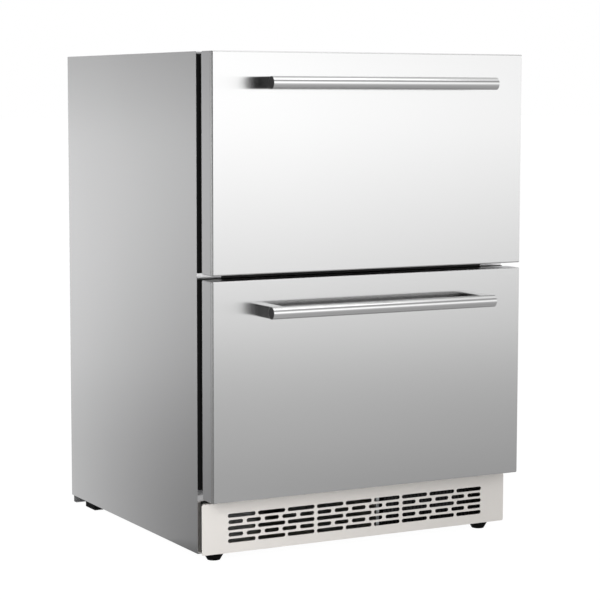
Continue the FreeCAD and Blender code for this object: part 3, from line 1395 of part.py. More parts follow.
doc.recompute()
for item in doc.Objects:
    if "Invalid" in item.State or "Error" in item.State:
        raise RuntimeError(f"{item.Label} did not build: {item.State}")
for node, item in NODES.items():
    if item.Shape.isNull() or not item.Shape.isValid():
        raise RuntimeError(f"{node} has no valid shape")
for node, item in NODES.items():
    item.Shape.exportStep(f"parts/{node}.step")
    print(node, len(item.Shape.Solids), round(item.Shape.Volume / 1000, 1))
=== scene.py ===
"""Looks of the undercounter drawer refrigerator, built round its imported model, in metres.

The cabinet's walls, the drawers' fronts and the handles are brushed stainless steel; the machine bay,
the cold compartment and the slides get the finishes of real ones. Every new piece rides on a body.
"""

import math

import bmesh
import bpy
from mathutils import Matrix, Vector


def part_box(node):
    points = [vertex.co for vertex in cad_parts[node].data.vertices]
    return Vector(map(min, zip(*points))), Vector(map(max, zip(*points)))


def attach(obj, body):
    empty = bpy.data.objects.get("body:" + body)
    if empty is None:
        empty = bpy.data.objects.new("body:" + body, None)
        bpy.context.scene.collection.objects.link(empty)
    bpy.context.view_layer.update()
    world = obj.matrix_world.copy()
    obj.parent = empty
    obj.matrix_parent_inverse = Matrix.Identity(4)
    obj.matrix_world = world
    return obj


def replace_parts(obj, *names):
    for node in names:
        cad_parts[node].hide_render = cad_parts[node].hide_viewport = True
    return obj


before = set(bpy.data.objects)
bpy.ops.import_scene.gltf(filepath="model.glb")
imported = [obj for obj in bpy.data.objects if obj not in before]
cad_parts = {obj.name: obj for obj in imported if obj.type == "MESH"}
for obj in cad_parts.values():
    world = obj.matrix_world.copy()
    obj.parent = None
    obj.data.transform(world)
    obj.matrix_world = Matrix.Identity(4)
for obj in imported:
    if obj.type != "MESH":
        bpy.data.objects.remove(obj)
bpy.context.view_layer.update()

# ---------------------------------------------------------------- camera
# The photograph is taken from the front left, a little above the middle of the upper drawer,
# with a long lens that keeps the upright edges nearly parallel.

CAMERA_PLACE = (-1.7030, -3.18305, 0.7838)
TURN_LEFT = math.radians(28.337)
TILT_DOWN = math.radians(5.900)
ROLL = math.radians(0.095)
camera_data = bpy.data.cameras.new("camera")
camera_data.lens = 118.4
camera_data.sensor_width = 36
camera_data.clip_end = 200
camera = bpy.data.objects.new("camera", camera_data)
camera.matrix_world = (Matrix.Translation(CAMERA_PLACE)
                       @ Matrix.Rotation(-TURN_LEFT, 4, "Z")
                       @ Matrix.Rotation(math.tau / 4 - TILT_DOWN, 4, "X")
                       @ Matrix.Rotation(ROLL, 4, "Z"))
bpy.context.scene.collection.objects.link(camera)
bpy.context.scene.camera = camera
bpy.context.scene.view_settings.view_transform = "Standard"

# ---------------------------------------------------------------- studio
# A plain pale floor under a white surround. Steel shows the surround as the photograph's does: bright to
# the right of the camera, dim to its left, and darker floor close to the cabinet than far away.


def put(tree, kind, inputs=None, **settings):
    """Adds one shader node; inputs gives its sockets a value or another node's output."""
    node = tree.nodes.new("ShaderNode" + kind)
    for name, value in settings.items():
        setattr(node, name, value)
    for name, value in (inputs or {}).items():
        if isinstance(value, bpy.types.NodeSocket):
            tree.links.new(value, node.inputs[name])
        else:
            node.inputs[name].default_value = value
    return node


def sums(tree, work, first, second=0.0):
    """One Math node's result."""
    return put(tree, "Math", {0: first, 1: second}, operation=work).outputs[0]


def new_effect(name, inputs, outputs):
    """A node group with named inputs and outputs, which several materials share."""
    effect = bpy.data.node_groups.new(name, "ShaderNodeTree")
    for label, kind, value in inputs:
        socket = effect.interface.new_socket(label, in_out="INPUT", socket_type="NodeSocket" + kind)
        socket.default_value = value
    for label, kind in outputs:
        effect.interface.new_socket(label, in_out="OUTPUT", socket_type="NodeSocket" + kind)
    return effect, effect.nodes.new("NodeGroupInput").outputs, effect.nodes.new("NodeGroupOutput").inputs


def ramp(tree, place, stops):
    """Grey tones along a line from 0 to 1."""
    node = put(tree, "ValToRGB", {0: place})
    marks = node.color_ramp.elements
    while len(marks) < len(stops):
        marks.new(0.5)
    for mark, (position, _) in zip(marks, stops):
        mark.position = position
    for mark, (_, grey) in zip(marks, stops):
        mark.color = (grey, grey, grey, 1)
    return node.outputs[0]


# how bright the surround looks in steel, by the direction in degrees, clockwise from straight behind
AROUND = [(-180, 0.60), (-174, 0.20), (-166, 0.02), (-118, 0.02), (-104, 0.15), (-90, 0.50), (-60, 0.48),
          (-42, 0.30), (-30, 0.16), (-25, 0.38), (-21, 1.38), (-8, 1.55), (60, 1.25), (118, 1.05),
          (136, 0.66), (145, 0.85), (154, 1.17), (170, 1.17), (180, 0.60)]
BRIGHTEST = 1.6
around_tone, given, result = new_effect(
    "tone round the studio", [("Direction", "Vector", (0, 0, 0)), ("Front lift", "Float", 0.0)],
    [("Tone", "Float"), ("Front share", "Float")])
level_way = put(around_tone, "VectorMath", {0: put(around_tone, "VectorMath", {
    0: given["Direction"], 1: (1, 1, 0)}, operation="MULTIPLY").outputs[0]}, operation="NORMALIZE").outputs[0]
parts = put(around_tone, "SeparateXYZ", {0: level_way}).outputs
turn = sums(around_tone, "DIVIDE", sums(around_tone, "ARCTAN2", parts["X"], parts["Y"]), math.tau)
tone = ramp(around_tone, sums(around_tone, "ADD", turn, 0.5),
            [((angle + 180) / 360, level / BRIGHTEST) for angle, level in AROUND])
front_share = sums(around_tone, "MULTIPLY", sums(around_tone, "SUBTRACT", 1.0, parts["Y"]), 0.5)
lift = sums(around_tone, "ADD", 1.0, sums(around_tone, "MULTIPLY", front_share, given["Front lift"]))
around_tone.links.new(sums(around_tone, "MULTIPLY", sums(around_tone, "MULTIPLY", tone, BRIGHTEST), lift),
                      result["Tone"])
around_tone.links.new(front_share, result["Front share"])


def shown_background(tree):
    """1 for the rays that see the background itself or its image in steel and glass."""
    path = put(tree, "LightPath").outputs
    return path, sums(tree, "MAXIMUM", path["Is Glossy Ray"], path["Is Transmission Ray"])


FRONT_LIFT = 0.45
PLAIN_LIGHT = 0.52
world = bpy.data.worlds.new("surround")
bpy.context.scene.world = world
world.use_nodes = True
tree = world.node_tree
direction = put(tree, "TexCoord").outputs["Generated"]
seen = put(tree, "Group", {"Direction": direction, "Front lift": FRONT_LIFT}, node_tree=around_tone).outputs
height = put(tree, "SeparateXYZ", {0: direction}).outputs["Z"]
in_front = ramp(tree, height, [(0.0, 1.0), (0.26, 1.0), (0.42, 0.40), (0.62, 0.40), (0.8, 0.8), (1.0, 0.8)])
behind = ramp(tree, height, [(0.0, 0.90), (0.06, 0.50), (0.3, 0.40), (0.8, 0.45), (1.0, 0.8)])
overhead = put(tree, "Mix", {0: seen["Front share"], 2: behind, 3: in_front}).outputs[0]
path, mirrored = shown_background(tree)
level = sums(tree, "MULTIPLY", seen["Tone"], overhead)
level = put(tree, "Mix", {0: mirrored, 2: PLAIN_LIGHT, 3: level}).outputs[0]
level = put(tree, "Mix", {0: path["Is Camera Ray"], 2: level, 3: 1.0}).outputs[0]
surround = tree.nodes["Background"]
surround.inputs["Color"].default_value = (1, 1, 1, 1)
tree.links.new(level, surround.inputs["Strength"])

HALF_FLOOR = 60
floor_mesh = bpy.data.meshes.new("floor")
floor_mesh.from_pydata([(x * HALF_FLOOR, y * HALF_FLOOR, 0) for x, y in ((-1, -1), (1, -1), (1, 1), (-1, 1))],
                       [], [(0, 1, 2, 3)])
floor = bpy.data.objects.new("floor", floor_mesh)
bpy.context.scene.collection.objects.link(floor)
floor_paint = bpy.data.materials.new("floor paint")
floor_paint.use_nodes = True
tree = floor_paint.node_tree
tree.nodes.clear()

# how bright the floor looks in steel, by the distance in metres from a point in front of the cabinet
FLOOR_TONES = [(0.25, 0.51), (0.8, 0.60), (1.2, 0.64), (1.7, 0.70), (2.3, 0.79), (3.1, 0.91), (4.0, 0.97),
               (5.2, 1.02), (7, 1.06), (12, 1.09), (27, 1.08)]
MIDDLE = (0.15, -0.6, 0)
HALF_WAY = 4.0
spot = put(tree, "NewGeometry").outputs["Position"]
far = put(tree, "VectorMath", {0: spot, 1: MIDDLE}, operation="DISTANCE").outputs["Value"]
far_share = sums(tree, "DIVIDE", far, sums(tree, "ADD", far, HALF_WAY))
faded = ramp(tree, far_share, [(reach / (reach + HALF_WAY), tone / BRIGHTEST) for reach, tone in FLOOR_TONES])
lift = sums(tree, "MULTIPLY", sums(tree, "POWER", far_share, 3.0), FRONT_LIFT)

# the floor's tone turns round one point in front, another to the left of that, and a third beside the
# left wall; it passes smoothly from one to the next
FRONT_TURN = (1.70, -2.61, 0)
LEFT_TURN = (-1.28, -2.61, 0)
WALL_TURN = (-1.09, 3.18, 0)
PASSAGE = 0.6
LEFT_PASSAGE = 0.4
corner = put(tree, "VectorMath", {0: spot, 1: (-1.0, 1.0, 0)}, operation="DOT_PRODUCT").outputs["Value"]
beside = put(tree, "Math", {0: sums(tree, "DIVIDE", corner, PASSAGE), 1: 0.5}, operation="ADD",
             use_clamp=True)
place = put(tree, "SeparateXYZ", {0: spot}).outputs["X"]
leftward = put(tree, "Math", {0: sums(tree, "DIVIDE", place, -LEFT_PASSAGE), 1: 0.4}, operation="SUBTRACT",
               use_clamp=True)
before = put(tree, "Mix", {0: leftward.outputs[0], 4: FRONT_TURN, 5: LEFT_TURN}, data_type="VECTOR")
turn = put(tree, "Mix", {0: beside.outputs[0], 4: before.outputs[1], 5: WALL_TURN}, data_type="VECTOR")
way = put(tree, "VectorMath", {0: spot, 1: turn.outputs[1]}, operation="ADD").outputs[0]
seen = put(tree, "Group", {"Direction": way, "Front lift": lift}, node_tree=around_tone)

# close to the cabinet the tones draw nearer to one grey
NEAR_GREY = 0.65
NEAR_SHARE = 0.4
evened = put(tree, "Mix", {0: sums(tree, "MULTIPLY", sums(tree, "SUBTRACT", 1.0, far_share), NEAR_SHARE),
                           2: seen.outputs["Tone"], 3: NEAR_GREY}).outputs[0]
path, mirrored = shown_background(tree)
image = put(tree, "Emission", {"Strength": sums(tree, "MULTIPLY", sums(tree, "MULTIPLY", evened, BRIGHTEST),
                                                faded)})

# the camera sees a white floor that keeps a faint shadow
SHOWN_WHITE = 1.08
WHITE_SHARE = 0.9
plain = put(tree, "BsdfDiffuse", {"Color": (0.8, 0.8, 0.8, 1)})
white = put(tree, "Emission", {"Color": (1, 1, 1, 1), "Strength": SHOWN_WHITE})
lit = put(tree, "MixShader", {0: sums(tree, "MULTIPLY", path["Is Camera Ray"], WHITE_SHARE),
                              1: plain.outputs[0], 2: white.outputs[0]})
surface = put(tree, "MixShader", {0: mirrored, 1: lit.outputs[0], 2: image.outputs[0]})
tree.links.new(surface.outputs[0], put(tree, "OutputMaterial").inputs["Surface"])
floor_mesh.materials.append(floor_paint)


def softbox(name, place, aim, width, height, power, mirrored):
    """A soft lamp that faces the cabinet; steel may show its image or only its light."""
    lamp_data = bpy.data.lights.new(name, "AREA")
    lamp_data.shape = "RECTANGLE"
    lamp_data.size = width
    lamp_data.size_y = height
    lamp_data.energy = power
    box = bpy.data.objects.new(name, lamp_data)
    box.location = place
    box.rotation_mode = "QUATERNION"
    box.rotation_quaternion = (Vector(aim) - Vector(place)).to_track_quat("-Z", "Y")
    box.visible_camera = False
    box.visible_glossy = mirrored
    bpy.context.scene.collection.objects.link(box)


softbox("overhead lamp", (0.2, -1.3, 3.2), (0, -0.3, 0.4), 3.0, 1.6, 14, True)
softbox("left lamp", (-1.1, -1.3, 0.6), (-0.1, -0.2, 0.15), 0.9, 0.7, 15, False)

# ---------------------------------------------------------------- base pan, feet and rear rail
# The floor of the machine bay is a folded galvanised tray. Two rubber-soled levelling feet screw into its
# front and two moulded blocks carry its back, with a folded rail between them, coloured dark grey as painted
# shade. A bent baffle of the same sheet as the tray guides the air behind the kick plate.


def dress(material, *nodes):
    """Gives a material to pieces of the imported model."""
    for node in nodes:
        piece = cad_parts[node]
        if not piece.material_slots:
            piece.data.materials.append(material)
        for place in piece.material_slots:
            place.material = material


def finish_of(name, effect, values, bump=(1.0, 0.0001), **shader_values):
    """A material whose colour, roughness and relief come from an effect."""
    material = bpy.data.materials.new(name)
    material.use_nodes = True
    tree = material.node_tree
    shader = tree.nodes["Principled BSDF"]
    worked = put(tree, "Group", node_tree=effect)
    for label, value in values.items():
        worked.inputs[label].default_value = value
    strength, depth = bump
    relief = put(tree, "Bump", {"Height": worked.outputs["Height"], "Strength": strength, "Distance": depth})
    tree.links.new(worked.outputs["Colour"], shader.inputs["Base Color"])
    tree.links.new(worked.outputs["Roughness"], shader.inputs["Roughness"])
    tree.links.new(relief.outputs["Normal"], shader.inputs["Normal"])
    for label, value in shader_values.items():
        shader.inputs[label.replace("_", " ").title().replace("Ior", "IOR")].default_value = value
    return material


def toned(tree, colour, share):
    """A colour made lighter or darker by a share."""
    return put(tree, "VectorMath", {0: colour, "Scale": share}, operation="SCALE").outputs[0]


SURFACE = [("Colour", "Color"), ("Roughness", "Float"), ("Height", "Float")]

# zinc crystals in a hot-dipped sheet: each has its own tone and shine
spangle, given, result = new_effect("zinc spangle", [
    ("Colour", "Color", (0.6, 0.6, 0.6, 1)), ("Roughness", "Float", 0.4), ("Crystals", "Float", 90.0),
    ("Contrast", "Float", 0.2)], SURFACE)
where = put(spangle, "TexCoord").outputs["Object"]
cells = put(spangle, "TexVoronoi", {"Vector": where, "Scale": given["Crystals"]})
tint = put(spangle, "SeparateColor", {0: cells.outputs["Color"]}).outputs[0]
swing = sums(spangle, "MULTIPLY", sums(spangle, "SUBTRACT", tint, 0.5), given["Contrast"])
spangle.links.new(toned(spangle, given["Colour"], sums(spangle, "ADD", swing, 1.0)), result["Colour"])
spangle.links.new(sums(spangle, "ADD", given["Roughness"], swing), result["Roughness"])
spangle.links.new(tint, result["Height"])

# the fine dull texture of a moulded or painted surface, with a slow change of tone over it
moulded, given, result = new_effect("moulded or painted skin", [
    ("Colour", "Color", (0.1, 0.1, 0.1, 1)), ("Roughness", "Float", 0.5), ("Grain", "Float", 900.0),
    ("Contrast", "Float", 0.1)], SURFACE)
where = put(moulded, "TexCoord").outputs["Object"]
fine = put(moulded, "TexNoise", {"Vector": where, "Scale": given["Grain"], "Detail": 2.0}).outputs[0]
slow = put(moulded, "TexNoise", {"Vector": where, "Scale": 9.0, "Detail": 2.0}).outputs[0]
swing = sums(moulded, "MULTIPLY", sums(moulded, "SUBTRACT", sums(moulded, "ADD", fine, slow), 1.0),
             given["Contrast"])
moulded.links.new(toned(moulded, given["Colour"], sums(moulded, "ADD", swing, 1.0)), result["Colour"])
moulded.links.new(sums(moulded, "ADD", given["Roughness"], swing), result["Roughness"])
moulded.links.new(fine, result["Height"])

galvanised = finish_of("galvanised sheet", spangle, {"Colour": (0.58, 0.60, 0.61, 1), "Roughness": 0.38,
                                                      "Crystals": 110.0, "Contrast": 0.16}, metallic=1.0)
rubber = finish_of("black rubber", moulded, {"Colour": (0.004, 0.004, 0.004, 1), "Roughness": 0.7,
                                             "Grain": 700.0, "Contrast": 0.3}, (0.4, 0.0003),
                   specular_ior_level=0.1)
# the rail's dark grey stands in for the shade it lies in: painted shade
rail_painted_shade = finish_of("rail darkened as painted shade", moulded, {
    "Colour": (0.22, 0.22, 0.225, 1), "Roughness": 0.42, "Grain": 500.0, "Contrast": 0.15}, (0.4, 0.0002))
dress(galvanised, "base_pan", "air_baffle")
dress(rubber, "left_front_foot", "right_front_foot", "rear_feet")
dress(rail_painted_shade, "rear_rail")

# ---------------------------------------------------------------- compressor and its pipes
# A welded steel shell in black enamel stands on rubber grommets, with a moulded relay cover on its side
# and copper lines brazed to its ports.

enamel = finish_of("black enamel", moulded, {"Colour": (0.012, 0.012, 0.013, 1), "Roughness": 0.22,
                                             "Grain": 260.0, "Contrast": 0.1}, (0.25, 0.0003),
                   coat_weight=0.3)
black_plastic = finish_of("black moulded plastic", moulded, {
    "Colour": (0.018, 0.018, 0.019, 1), "Roughness": 0.48, "Grain": 1400.0, "Contrast": 0.25}, (0.5, 0.0002))
copper = finish_of("drawn copper", moulded, {"Colour": (0.72, 0.36, 0.22, 1), "Roughness": 0.27,
                                             "Grain": 300.0, "Contrast": 0.22}, (0.2, 0.0001), metallic=1.0)
dress(enamel, "compressor", "condenser")
dress(rubber, "compressor_grommets")
dress(black_plastic, "relay_cover")
dress(copper, "discharge_line", "suction_line")


def add_piece(name, shape, body, material, smooth=35):
    """Puts a finished shape in the scene: rounded faces are shaded smooth, and it rides on a body."""
    mesh = bpy.data.meshes.new(name)
    bmesh.ops.recalc_face_normals(shape, faces=shape.faces)
    for face in shape.faces:
        face.smooth = True
    shape.to_mesh(mesh)
    shape.free()
    mesh.set_sharp_from_angle(angle=math.radians(smooth))
    mesh.materials.append(material)
    piece = bpy.data.objects.new(name, mesh)
    bpy.context.scene.collection.objects.link(piece)
    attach(piece, body)
    return piece


def ring(sides, radius, height, phase=0.0):
    """A loop of points round the upright axis."""
    angles = (math.tau * (index / sides + phase) for index in range(sides))
    return [(radius * math.cos(angle), radius * math.sin(angle), height) for angle in angles]


def stack(shape, place, loops):
    """Joins loops of points, each of the same number, into a closed form."""
    rows = [[shape.verts.new(place @ Vector(point)) for point in loop] for loop in loops]
    for first, second in zip(rows, rows[1:]):
        for index, corner in enumerate(first):
            shape.faces.new((first[index - 1], corner, second[index], second[index - 1]))
    shape.faces.new(rows[0])
    shape.faces.new(rows[-1])


# a washer, a chamfered hexagon nut and the end of its stud hold the shell's foot plate on each grommet,
# each as radii and heights above the plate
zinc = finish_of("zinc plate", spangle, {"Colour": (0.60, 0.61, 0.62, 1), "Roughness": 0.3,
                                         "Crystals": 700.0, "Contrast": 0.06}, (0.2, 0.00005), metallic=1.0)
WASHER = [(0.0088, 0), (0.0088, 0.0012)]
NUT = [(0.0066, 0.0012), (0.0075, 0.0018), (0.0075, 0.0062), (0.0066, 0.0068)]
STUD = [(0.0039, 0.0068), (0.0039, 0.0092), (0.0031, 0.0100)]
FOOT_PLATE_TOP = 0.0315
GROMMET_RADIUS = 0.013
low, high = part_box("compressor_grommets")
shape = bmesh.new()
for x in (low[0] + GROMMET_RADIUS, high[0] - GROMMET_RADIUS):
    for y in (low[1] + GROMMET_RADIUS, high[1] - GROMMET_RADIUS):
        place = Matrix.Translation((x, y, FOOT_PLATE_TOP))
        for sides, profile in ((24, WASHER), (6, NUT), (16, STUD)):
            stack(shape, place, [ring(sides, radius, height) for radius, height in profile])
add_piece("compressor_nuts", shape, "cabinet", zinc)

# ---------------------------------------------------------------- condenser fan
# A moulded five-blade wheel on a small shaded-pole motor, hung by a strap behind the pressed shroud, which
# is painted dark.

motor_steel = finish_of("zinc grey motor", moulded, {"Colour": (0.36, 0.36, 0.37, 1), "Roughness": 0.36,
                                                     "Grain": 400.0, "Contrast": 0.12}, (0.3, 0.0002),
                        metallic=0.8)
shroud_paint = finish_of("dark painted shroud", moulded, {
    "Colour": (0.10, 0.095, 0.09, 1), "Roughness": 0.5, "Grain": 500.0, "Contrast": 0.15}, (0.4, 0.0002))
dress(motor_steel, "condenser_motor", "evaporator_motor")
dress(shroud_paint, "condenser_shroud")
dress(black_plastic, "condenser_fan", "evaporator_fan")

# ---------------------------------------------------------------- drain and controls
# Meltwater runs down a moulded grey tube into an open pan, where the compressor's warmth dries it up. The
# control box, a black moulded housing, is screwed to the base pan at the left.

grey_plastic = finish_of("grey moulded plastic", moulded, {
    "Colour": (0.26, 0.27, 0.28, 1), "Roughness": 0.5, "Grain": 1100.0, "Contrast": 0.1}, (0.4, 0.0002))
dress(grey_plastic, "evaporation_pan", "drain_tube")
dress(black_plastic, "control_box")

# ---------------------------------------------------------------- cabinet wrapper
# Folded stainless sheets close both sides, the top and the front of the walls. The grain of the side
# sheets runs upright, the top's runs across; the back is a plain galvanised sheet.

# the fine parallel scratches of brushed steel, with slow changes of tone along the sheet
brushed, given, result = new_effect("brushed grain", [
    ("Colour", "Color", (0.7, 0.7, 0.7, 1)), ("Roughness", "Float", 0.28),
    ("Stretch", "Vector", (900.0, 900.0, 12.0)), ("Contrast", "Float", 0.1)], SURFACE)
where = put(brushed, "TexCoord").outputs["Object"]
along = put(brushed, "VectorMath", {0: where, 1: given["Stretch"]}, operation="MULTIPLY").outputs[0]
hairs = put(brushed, "TexNoise", {"Vector": along, "Scale": 1.0, "Detail": 3.0, "Roughness": 0.7}).outputs[0]
bands = put(brushed, "TexNoise", {"Vector": along, "Scale": 0.22, "Detail": 2.0}).outputs[0]
slow = put(brushed, "TexNoise", {"Vector": where, "Scale": 5.0, "Detail": 1.0}).outputs[0]
lines = sums(brushed, "SUBTRACT", sums(brushed, "ADD", hairs, bands), 1.0)
swing = sums(brushed, "MULTIPLY", lines, given["Contrast"])
patch = sums(brushed, "MULTIPLY", sums(brushed, "SUBTRACT", slow, 0.5), given["Contrast"])
brushed.links.new(toned(brushed, given["Colour"], sums(brushed, "ADD", swing, 1.0)), result["Colour"])
brushed.links.new(sums(brushed, "ADD", given["Roughness"], sums(brushed, "ADD", swing, patch)),
                  result["Roughness"])
brushed.links.new(hairs, result["Height"])


def steel(name, colour, roughness, stretch, contrast=0.012, bump=(0.02, 0.00002), pull=None, smear=0.0,
          metallic=1.0):
    """Brushed steel; pull is the axis that the scratches smear its reflections round."""
    material = finish_of(name, brushed, {"Colour": colour, "Roughness": roughness, "Stretch": stretch,
                                         "Contrast": contrast}, bump, metallic=metallic, anisotropic=smear)
    if pull:
        tree = material.node_tree
        tangent = put(tree, "Tangent", direction_type="RADIAL", axis=pull)
        tree.links.new(tangent.outputs[0], tree.nodes["Principled BSDF"].inputs["Tangent"])
    return material


UPRIGHT_GRAIN = (1400.0, 1400.0, 14.0)
ACROSS_GRAIN = (14.0, 1400.0, 1400.0)
side_steel = steel("brushed side sheet", (0.74, 0.74, 0.745, 1), 0.23, UPRIGHT_GRAIN, pull="Z", smear=0.8)
top_steel = steel("brushed top sheet", (0.66, 0.66, 0.67, 1), 0.30, ACROSS_GRAIN, pull="X", smear=0.5)
dress(side_steel, "left_side_panel", "right_side_panel")
dress(top_steel, "top_panel")
dress(galvanised, "rear_panel")

# ---------------------------------------------------------------- liner and foam
# The cold compartment is one vacuum-formed white shell; rigid foam fills the walls between it and the
# sheets, and hardens to a pale yellow with fine closed cells.

white_plastic = finish_of("white liner", moulded, {"Colour": (0.82, 0.83, 0.83, 1), "Roughness": 0.3,
                                                   "Grain": 200.0, "Contrast": 0.03}, (0.15, 0.0003))
foam = finish_of("rigid foam", moulded, {"Colour": (0.78, 0.68, 0.42, 1), "Roughness": 0.85,
                                         "Grain": 650.0, "Contrast": 0.25}, (0.8, 0.001))
dress(white_plastic, "liner")
dress(foam, "cabinet_insulation", "upper_front_foam", "lower_front_foam")

# ---------------------------------------------------------------- evaporator, its cover and the lamp
# A coil with aluminium fins stands behind a moulded white cover that holds the fan and is screwed at its
# corners to the liner. A lamp under a frosted moulded lens lights the upper drawer.

aluminium = steel("mill aluminium", (0.74, 0.75, 0.76, 1), 0.34, ACROSS_GRAIN, contrast=0.12)
lens = finish_of("frosted lens", moulded, {"Colour": (0.90, 0.90, 0.86, 1), "Roughness": 0.42,
                                           "Grain": 500.0, "Contrast": 0.02}, (0.3, 0.0003),
                 subsurface_weight=0.2)
dress(aluminium, "evaporator")
dress(white_plastic, "evaporator_cover")
dress(lens, "lamp")


def screw_heads(name, places, facing, radius, rise, body, material):
    """Pan heads with a cross recess, one at each place, all facing one way."""
    quarters = [Matrix.Rotation(math.tau * turn / 4, 4, "Z") for turn in range(4)]
    arm, reach = radius * 0.15, radius * 0.56

    def cross(share, height):
        return [quarter @ Vector((x * share, y * share, height)) for quarter in quarters
                for x, y in ((reach, -arm), (reach, arm), (arm, arm))]

    outline = [ring(12, radius * share, rise * lift, -1 / 24)
               for share, lift in ((1, 0), (1, 0.4), (0.92, 0.78), (0.72, 1))]
    turn = Vector(facing).to_track_quat("Z", "Y").to_matrix().to_4x4()
    shape = bmesh.new()
    for place in places:
        stack(shape, Matrix.Translation(place) @ turn, outline + [cross(1, rise), cross(0.7, rise * 0.3)])
    return add_piece(name, shape, body, material)


low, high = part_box("evaporator_cover")
EDGE = 0.014
screw_heads("evaporator_cover_screws", [(x, low[1], z) for x in (low[0] + EDGE, high[0] - EDGE)
                                        for z in (low[2] + EDGE, high[2] - EDGE)],
            (0, -1, 0), 0.0045, 0.0022, "cabinet", white_plastic)

# ---------------------------------------------------------------- rear cover
# A galvanised sheet with punched vents closes the machine bay, with a moulded gland for the cord. Pan head
# screws in zinc plate hold it, and flush ones hold the plain sheet above it.

dress(galvanised, "rear_bay_cover")
dress(black_plastic, "cord_gland")


def rear_screws(name, sheet, edge, heights, top, along, radius, rise):
    """Screws up both sides of a rear sheet and along its top."""
    low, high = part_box(sheet)
    sides = [(x, high[1], z) for x in (low[0] + edge, high[0] - edge) for z in heights]
    screw_heads(name, sides + [(x, high[1], top) for x in along], (0, 1, 0), radius, rise,
                "cabinet", zinc)


COVER_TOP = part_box("rear_bay_cover")[1][2]
rear_screws("rear_cover_screws", "rear_bay_cover", edge=EDGE, heights=(0.035, 0.120), top=COVER_TOP - 0.010,
            along=(-0.286, -0.143, 0, 0.143, 0.286), radius=0.0042, rise=0.0024)
rear_screws("rear_panel_screws", "rear_panel", edge=0.008, heights=(0.30, 0.44, 0.58, 0.72, 0.845), top=0.845,
            along=(-0.15, 0, 0.15), radius=0.0038, rise=0.0004)

# ---------------------------------------------------------------- mullion and lower rail
# A folded steel bar divides the two drawer openings, with a black strip on its face; a second bar closes
# the wall below the lower drawer.

rail_steel = steel("brushed rail", (0.66, 0.66, 0.67, 1), 0.30, ACROSS_GRAIN, pull="Z", smear=0.4)
dress(rail_steel, "mullion", "lower_rail")
dress(black_plastic, "mullion_cover")

# ---------------------------------------------------------------- kick plate
# A stainless plate, punched with five rows of slots and folded back at its ends, is clipped in front of the
# machine bay. Its satin finish is finer and warmer than the fronts'.

plate_steel = steel("satin kick plate", (0.79, 0.76, 0.725, 1), 0.42, ACROSS_GRAIN, metallic=0.15)
dress(plate_steel, "kick_plate")

# ---------------------------------------------------------------- slides
# On each side of each drawer three rolled steel channels run in each other, zinc plated. The outer one is
# fixed to the liner, the inner one to the drawer's tray.

for drawer in ("upper", "lower"):
    dress(zinc, drawer + "_cabinet_slides", drawer + "_middle_slides", drawer + "_drawer_slides")

# ---------------------------------------------------------------- bins
# Each bin is a box of satin stainless sheet with rounded corners and a rim turned out at the back. Screws
# from the inside hold it between its slides.

bin_steel = steel("satin bin", (0.68, 0.68, 0.69, 1), 0.33, (40.0, 40.0, 900.0), contrast=0.06)
dress(bin_steel, "upper_bin", "lower_bin")
WALL = 0.0015
CORNER = 0.016
RIM = 0.007
BEAD_RADIUS = 0.0016
for drawer, fixings in (("upper", (-0.19, -0.04, 0.11)), ("lower", (-0.20, -0.09, 0.02))):
    low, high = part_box(drawer + "_bin")
    slide_low, slide_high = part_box(drawer + "_drawer_slides")
    for side, edge, facing in (("left", low[0] + WALL, 1), ("right", high[0] - WALL, -1)):
        screw_heads(drawer + "_bin_screws_" + side,
                    [(edge, y, (slide_low[2] + slide_high[2]) / 2) for y in fixings],
                    (facing, 0, 0), 0.0042, 0.0020, drawer + "_drawer", zinc)

    # the open edge is rolled into a bead along the sides and the front
    bend = CORNER - WALL / 2
    centre_x, centre_y = high[0] - CORNER, low[1] + CORNER
    half = [(high[0] - WALL / 2, high[1] - RIM - CORNER)]
    for angle in range(0, 91, 10):
        half.append((centre_x + bend * math.cos(math.radians(angle)),
                     centre_y - bend * math.sin(math.radians(angle))))
    route = half + [(-x, y) for x, y in reversed(half)]
    line = bpy.data.curves.new(drawer + "_bin_bead", "CURVE")
    line.dimensions = "3D"
    line.bevel_depth = BEAD_RADIUS
    line.bevel_resolution = 3
    line.use_fill_caps = True
    spline = line.splines.new("POLY")
    spline.points.add(len(route) - 1)
    for point, (x, y) in zip(spline.points, route):
        point.co = (x, y, high[2] - WALL / 2, 1)
    line.materials.append(bin_steel)
    bead = bpy.data.objects.new(drawer + "_bin_bead", line)
    bpy.context.scene.collection.objects.link(bead)
    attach(bead, drawer + "_drawer")

# ---------------------------------------------------------------- drawer fronts
# A brushed stainless skin in front, folded back at all four edges, and a shallow tray of the same sheet
# behind it meet at a thin seam, with rigid foam between them.

front_steel = steel("brushed front", (0.72, 0.72, 0.72, 1), 0.18, UPRIGHT_GRAIN, pull="Z", smear=1.0)
tray_steel = steel("brushed tray", (0.72, 0.72, 0.73, 1), 0.28, UPRIGHT_GRAIN, pull="Z", smear=0.5)
for drawer in ("upper", "lower"):
    dress(front_steel, drawer + "_front_skin")
    dress(tray_steel, drawer + "_front_tray")

# ---------------------------------------------------------------- gaskets
# Each is one extruded vinyl strip, mitred and welded at its corners: a foot pressed into the tray, two
# bellows folds, and a flat pocket for the magnet that pulls it to the cabinet.

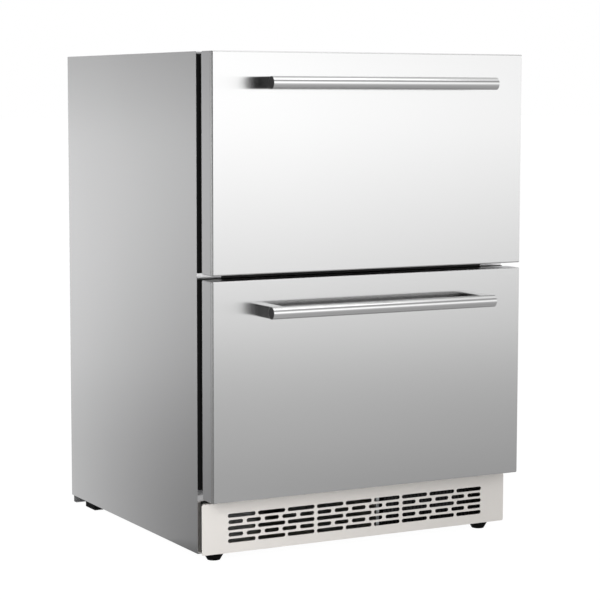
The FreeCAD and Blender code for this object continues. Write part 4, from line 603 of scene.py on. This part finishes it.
# the strip's section in millimetres, from its outer side inwards and from the tray towards the cabinet
STRIP = [(3.2, 0.0), (2.3, 0.5), (1.9, 2.2), (1.3, 3.4), (1.2, 5.8), (2.0, 7.1), (5.6, 8.3), (7.0, 9.4),
         (5.5, 10.5), (1.5, 11.5), (0.6, 12.6), (0.4, 14.2), (0.0, 15.2), (0.0, 17.4), (0.5, 18.6),
         (1.2, 19.0), (14.8, 19.0), (15.6, 18.6), (16.0, 17.4), (16.0, 15.2), (15.4, 14.2), (15.2, 12.6),
         (14.2, 11.4), (10.4, 10.4), (9.2, 9.3), (10.4, 8.2), (14.0, 7.0), (14.8, 5.8), (14.7, 3.4),
         (14.1, 2.2), (13.7, 0.5), (12.8, 0.0)]

for drawer in ("upper", "lower"):
    low, high = (Vector(corner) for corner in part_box(drawer + "_gasket"))
    shape = bmesh.new()
    loops = [[shape.verts.new((x, low.y + depth / 1000, z)) for x, z in (
        (low.x + inward / 1000, low.z + inward / 1000), (high.x - inward / 1000, low.z + inward / 1000),
        (high.x - inward / 1000, high.z - inward / 1000), (low.x + inward / 1000, high.z - inward / 1000))]
        for inward, depth in STRIP]
    for first, second in zip(loops, loops[1:] + loops[:1]):
        for side in range(4):
            shape.faces.new((first[side], first[side - 1], second[side - 1], second[side]))
    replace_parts(add_piece(drawer + "_bellows_gasket", shape, drawer + "_drawer", rubber),
                drawer + "_gasket")

# ---------------------------------------------------------------- handles
# A polished stainless tube sits in two satin posts that are screwed on through the skin. Moulded black
# caps are pushed into its ends.

handle_steel = steel("polished handle", (0.73, 0.73, 0.73, 1), 0.15, ACROSS_GRAIN, contrast=0.05)
cap_plastic = finish_of("handle cap plastic", moulded, {
    "Colour": (0.03, 0.03, 0.03, 1), "Roughness": 0.4, "Grain": 1400.0, "Contrast": 0.2}, (0.4, 0.0002))

# the tube's back, facing the front skin, is darkened in colour: painted shade for the dark gap between tube
# and skin
tree = handle_steel.node_tree
shader = tree.nodes["Principled BSDF"]
backward = put(tree, "SeparateXYZ", {0: put(tree, "TexCoord").outputs["Normal"]}).outputs["Y"]
painted_back_shade = ramp(tree, backward, [(0.04, 1.0), (0.28, 0.36)])
tree.links.new(toned(tree, shader.inputs["Base Color"].links[0].from_socket, painted_back_shade),
               shader.inputs["Base Color"])

# the posts get a far darker steel colour than the tube: painted shade for their shaded sides
post_steel_painted_shade = steel("satin handle post", (0.42, 0.42, 0.42, 1), 0.2, ACROSS_GRAIN, contrast=0.04)
for drawer in ("upper", "lower"):
    dress(handle_steel, drawer + "_handle_tube")
    dress(post_steel_painted_shade, drawer + "_handle_posts")
    dress(cap_plastic, drawer + "_handle_caps")
    dress(zinc, drawer + "_handle_screws")
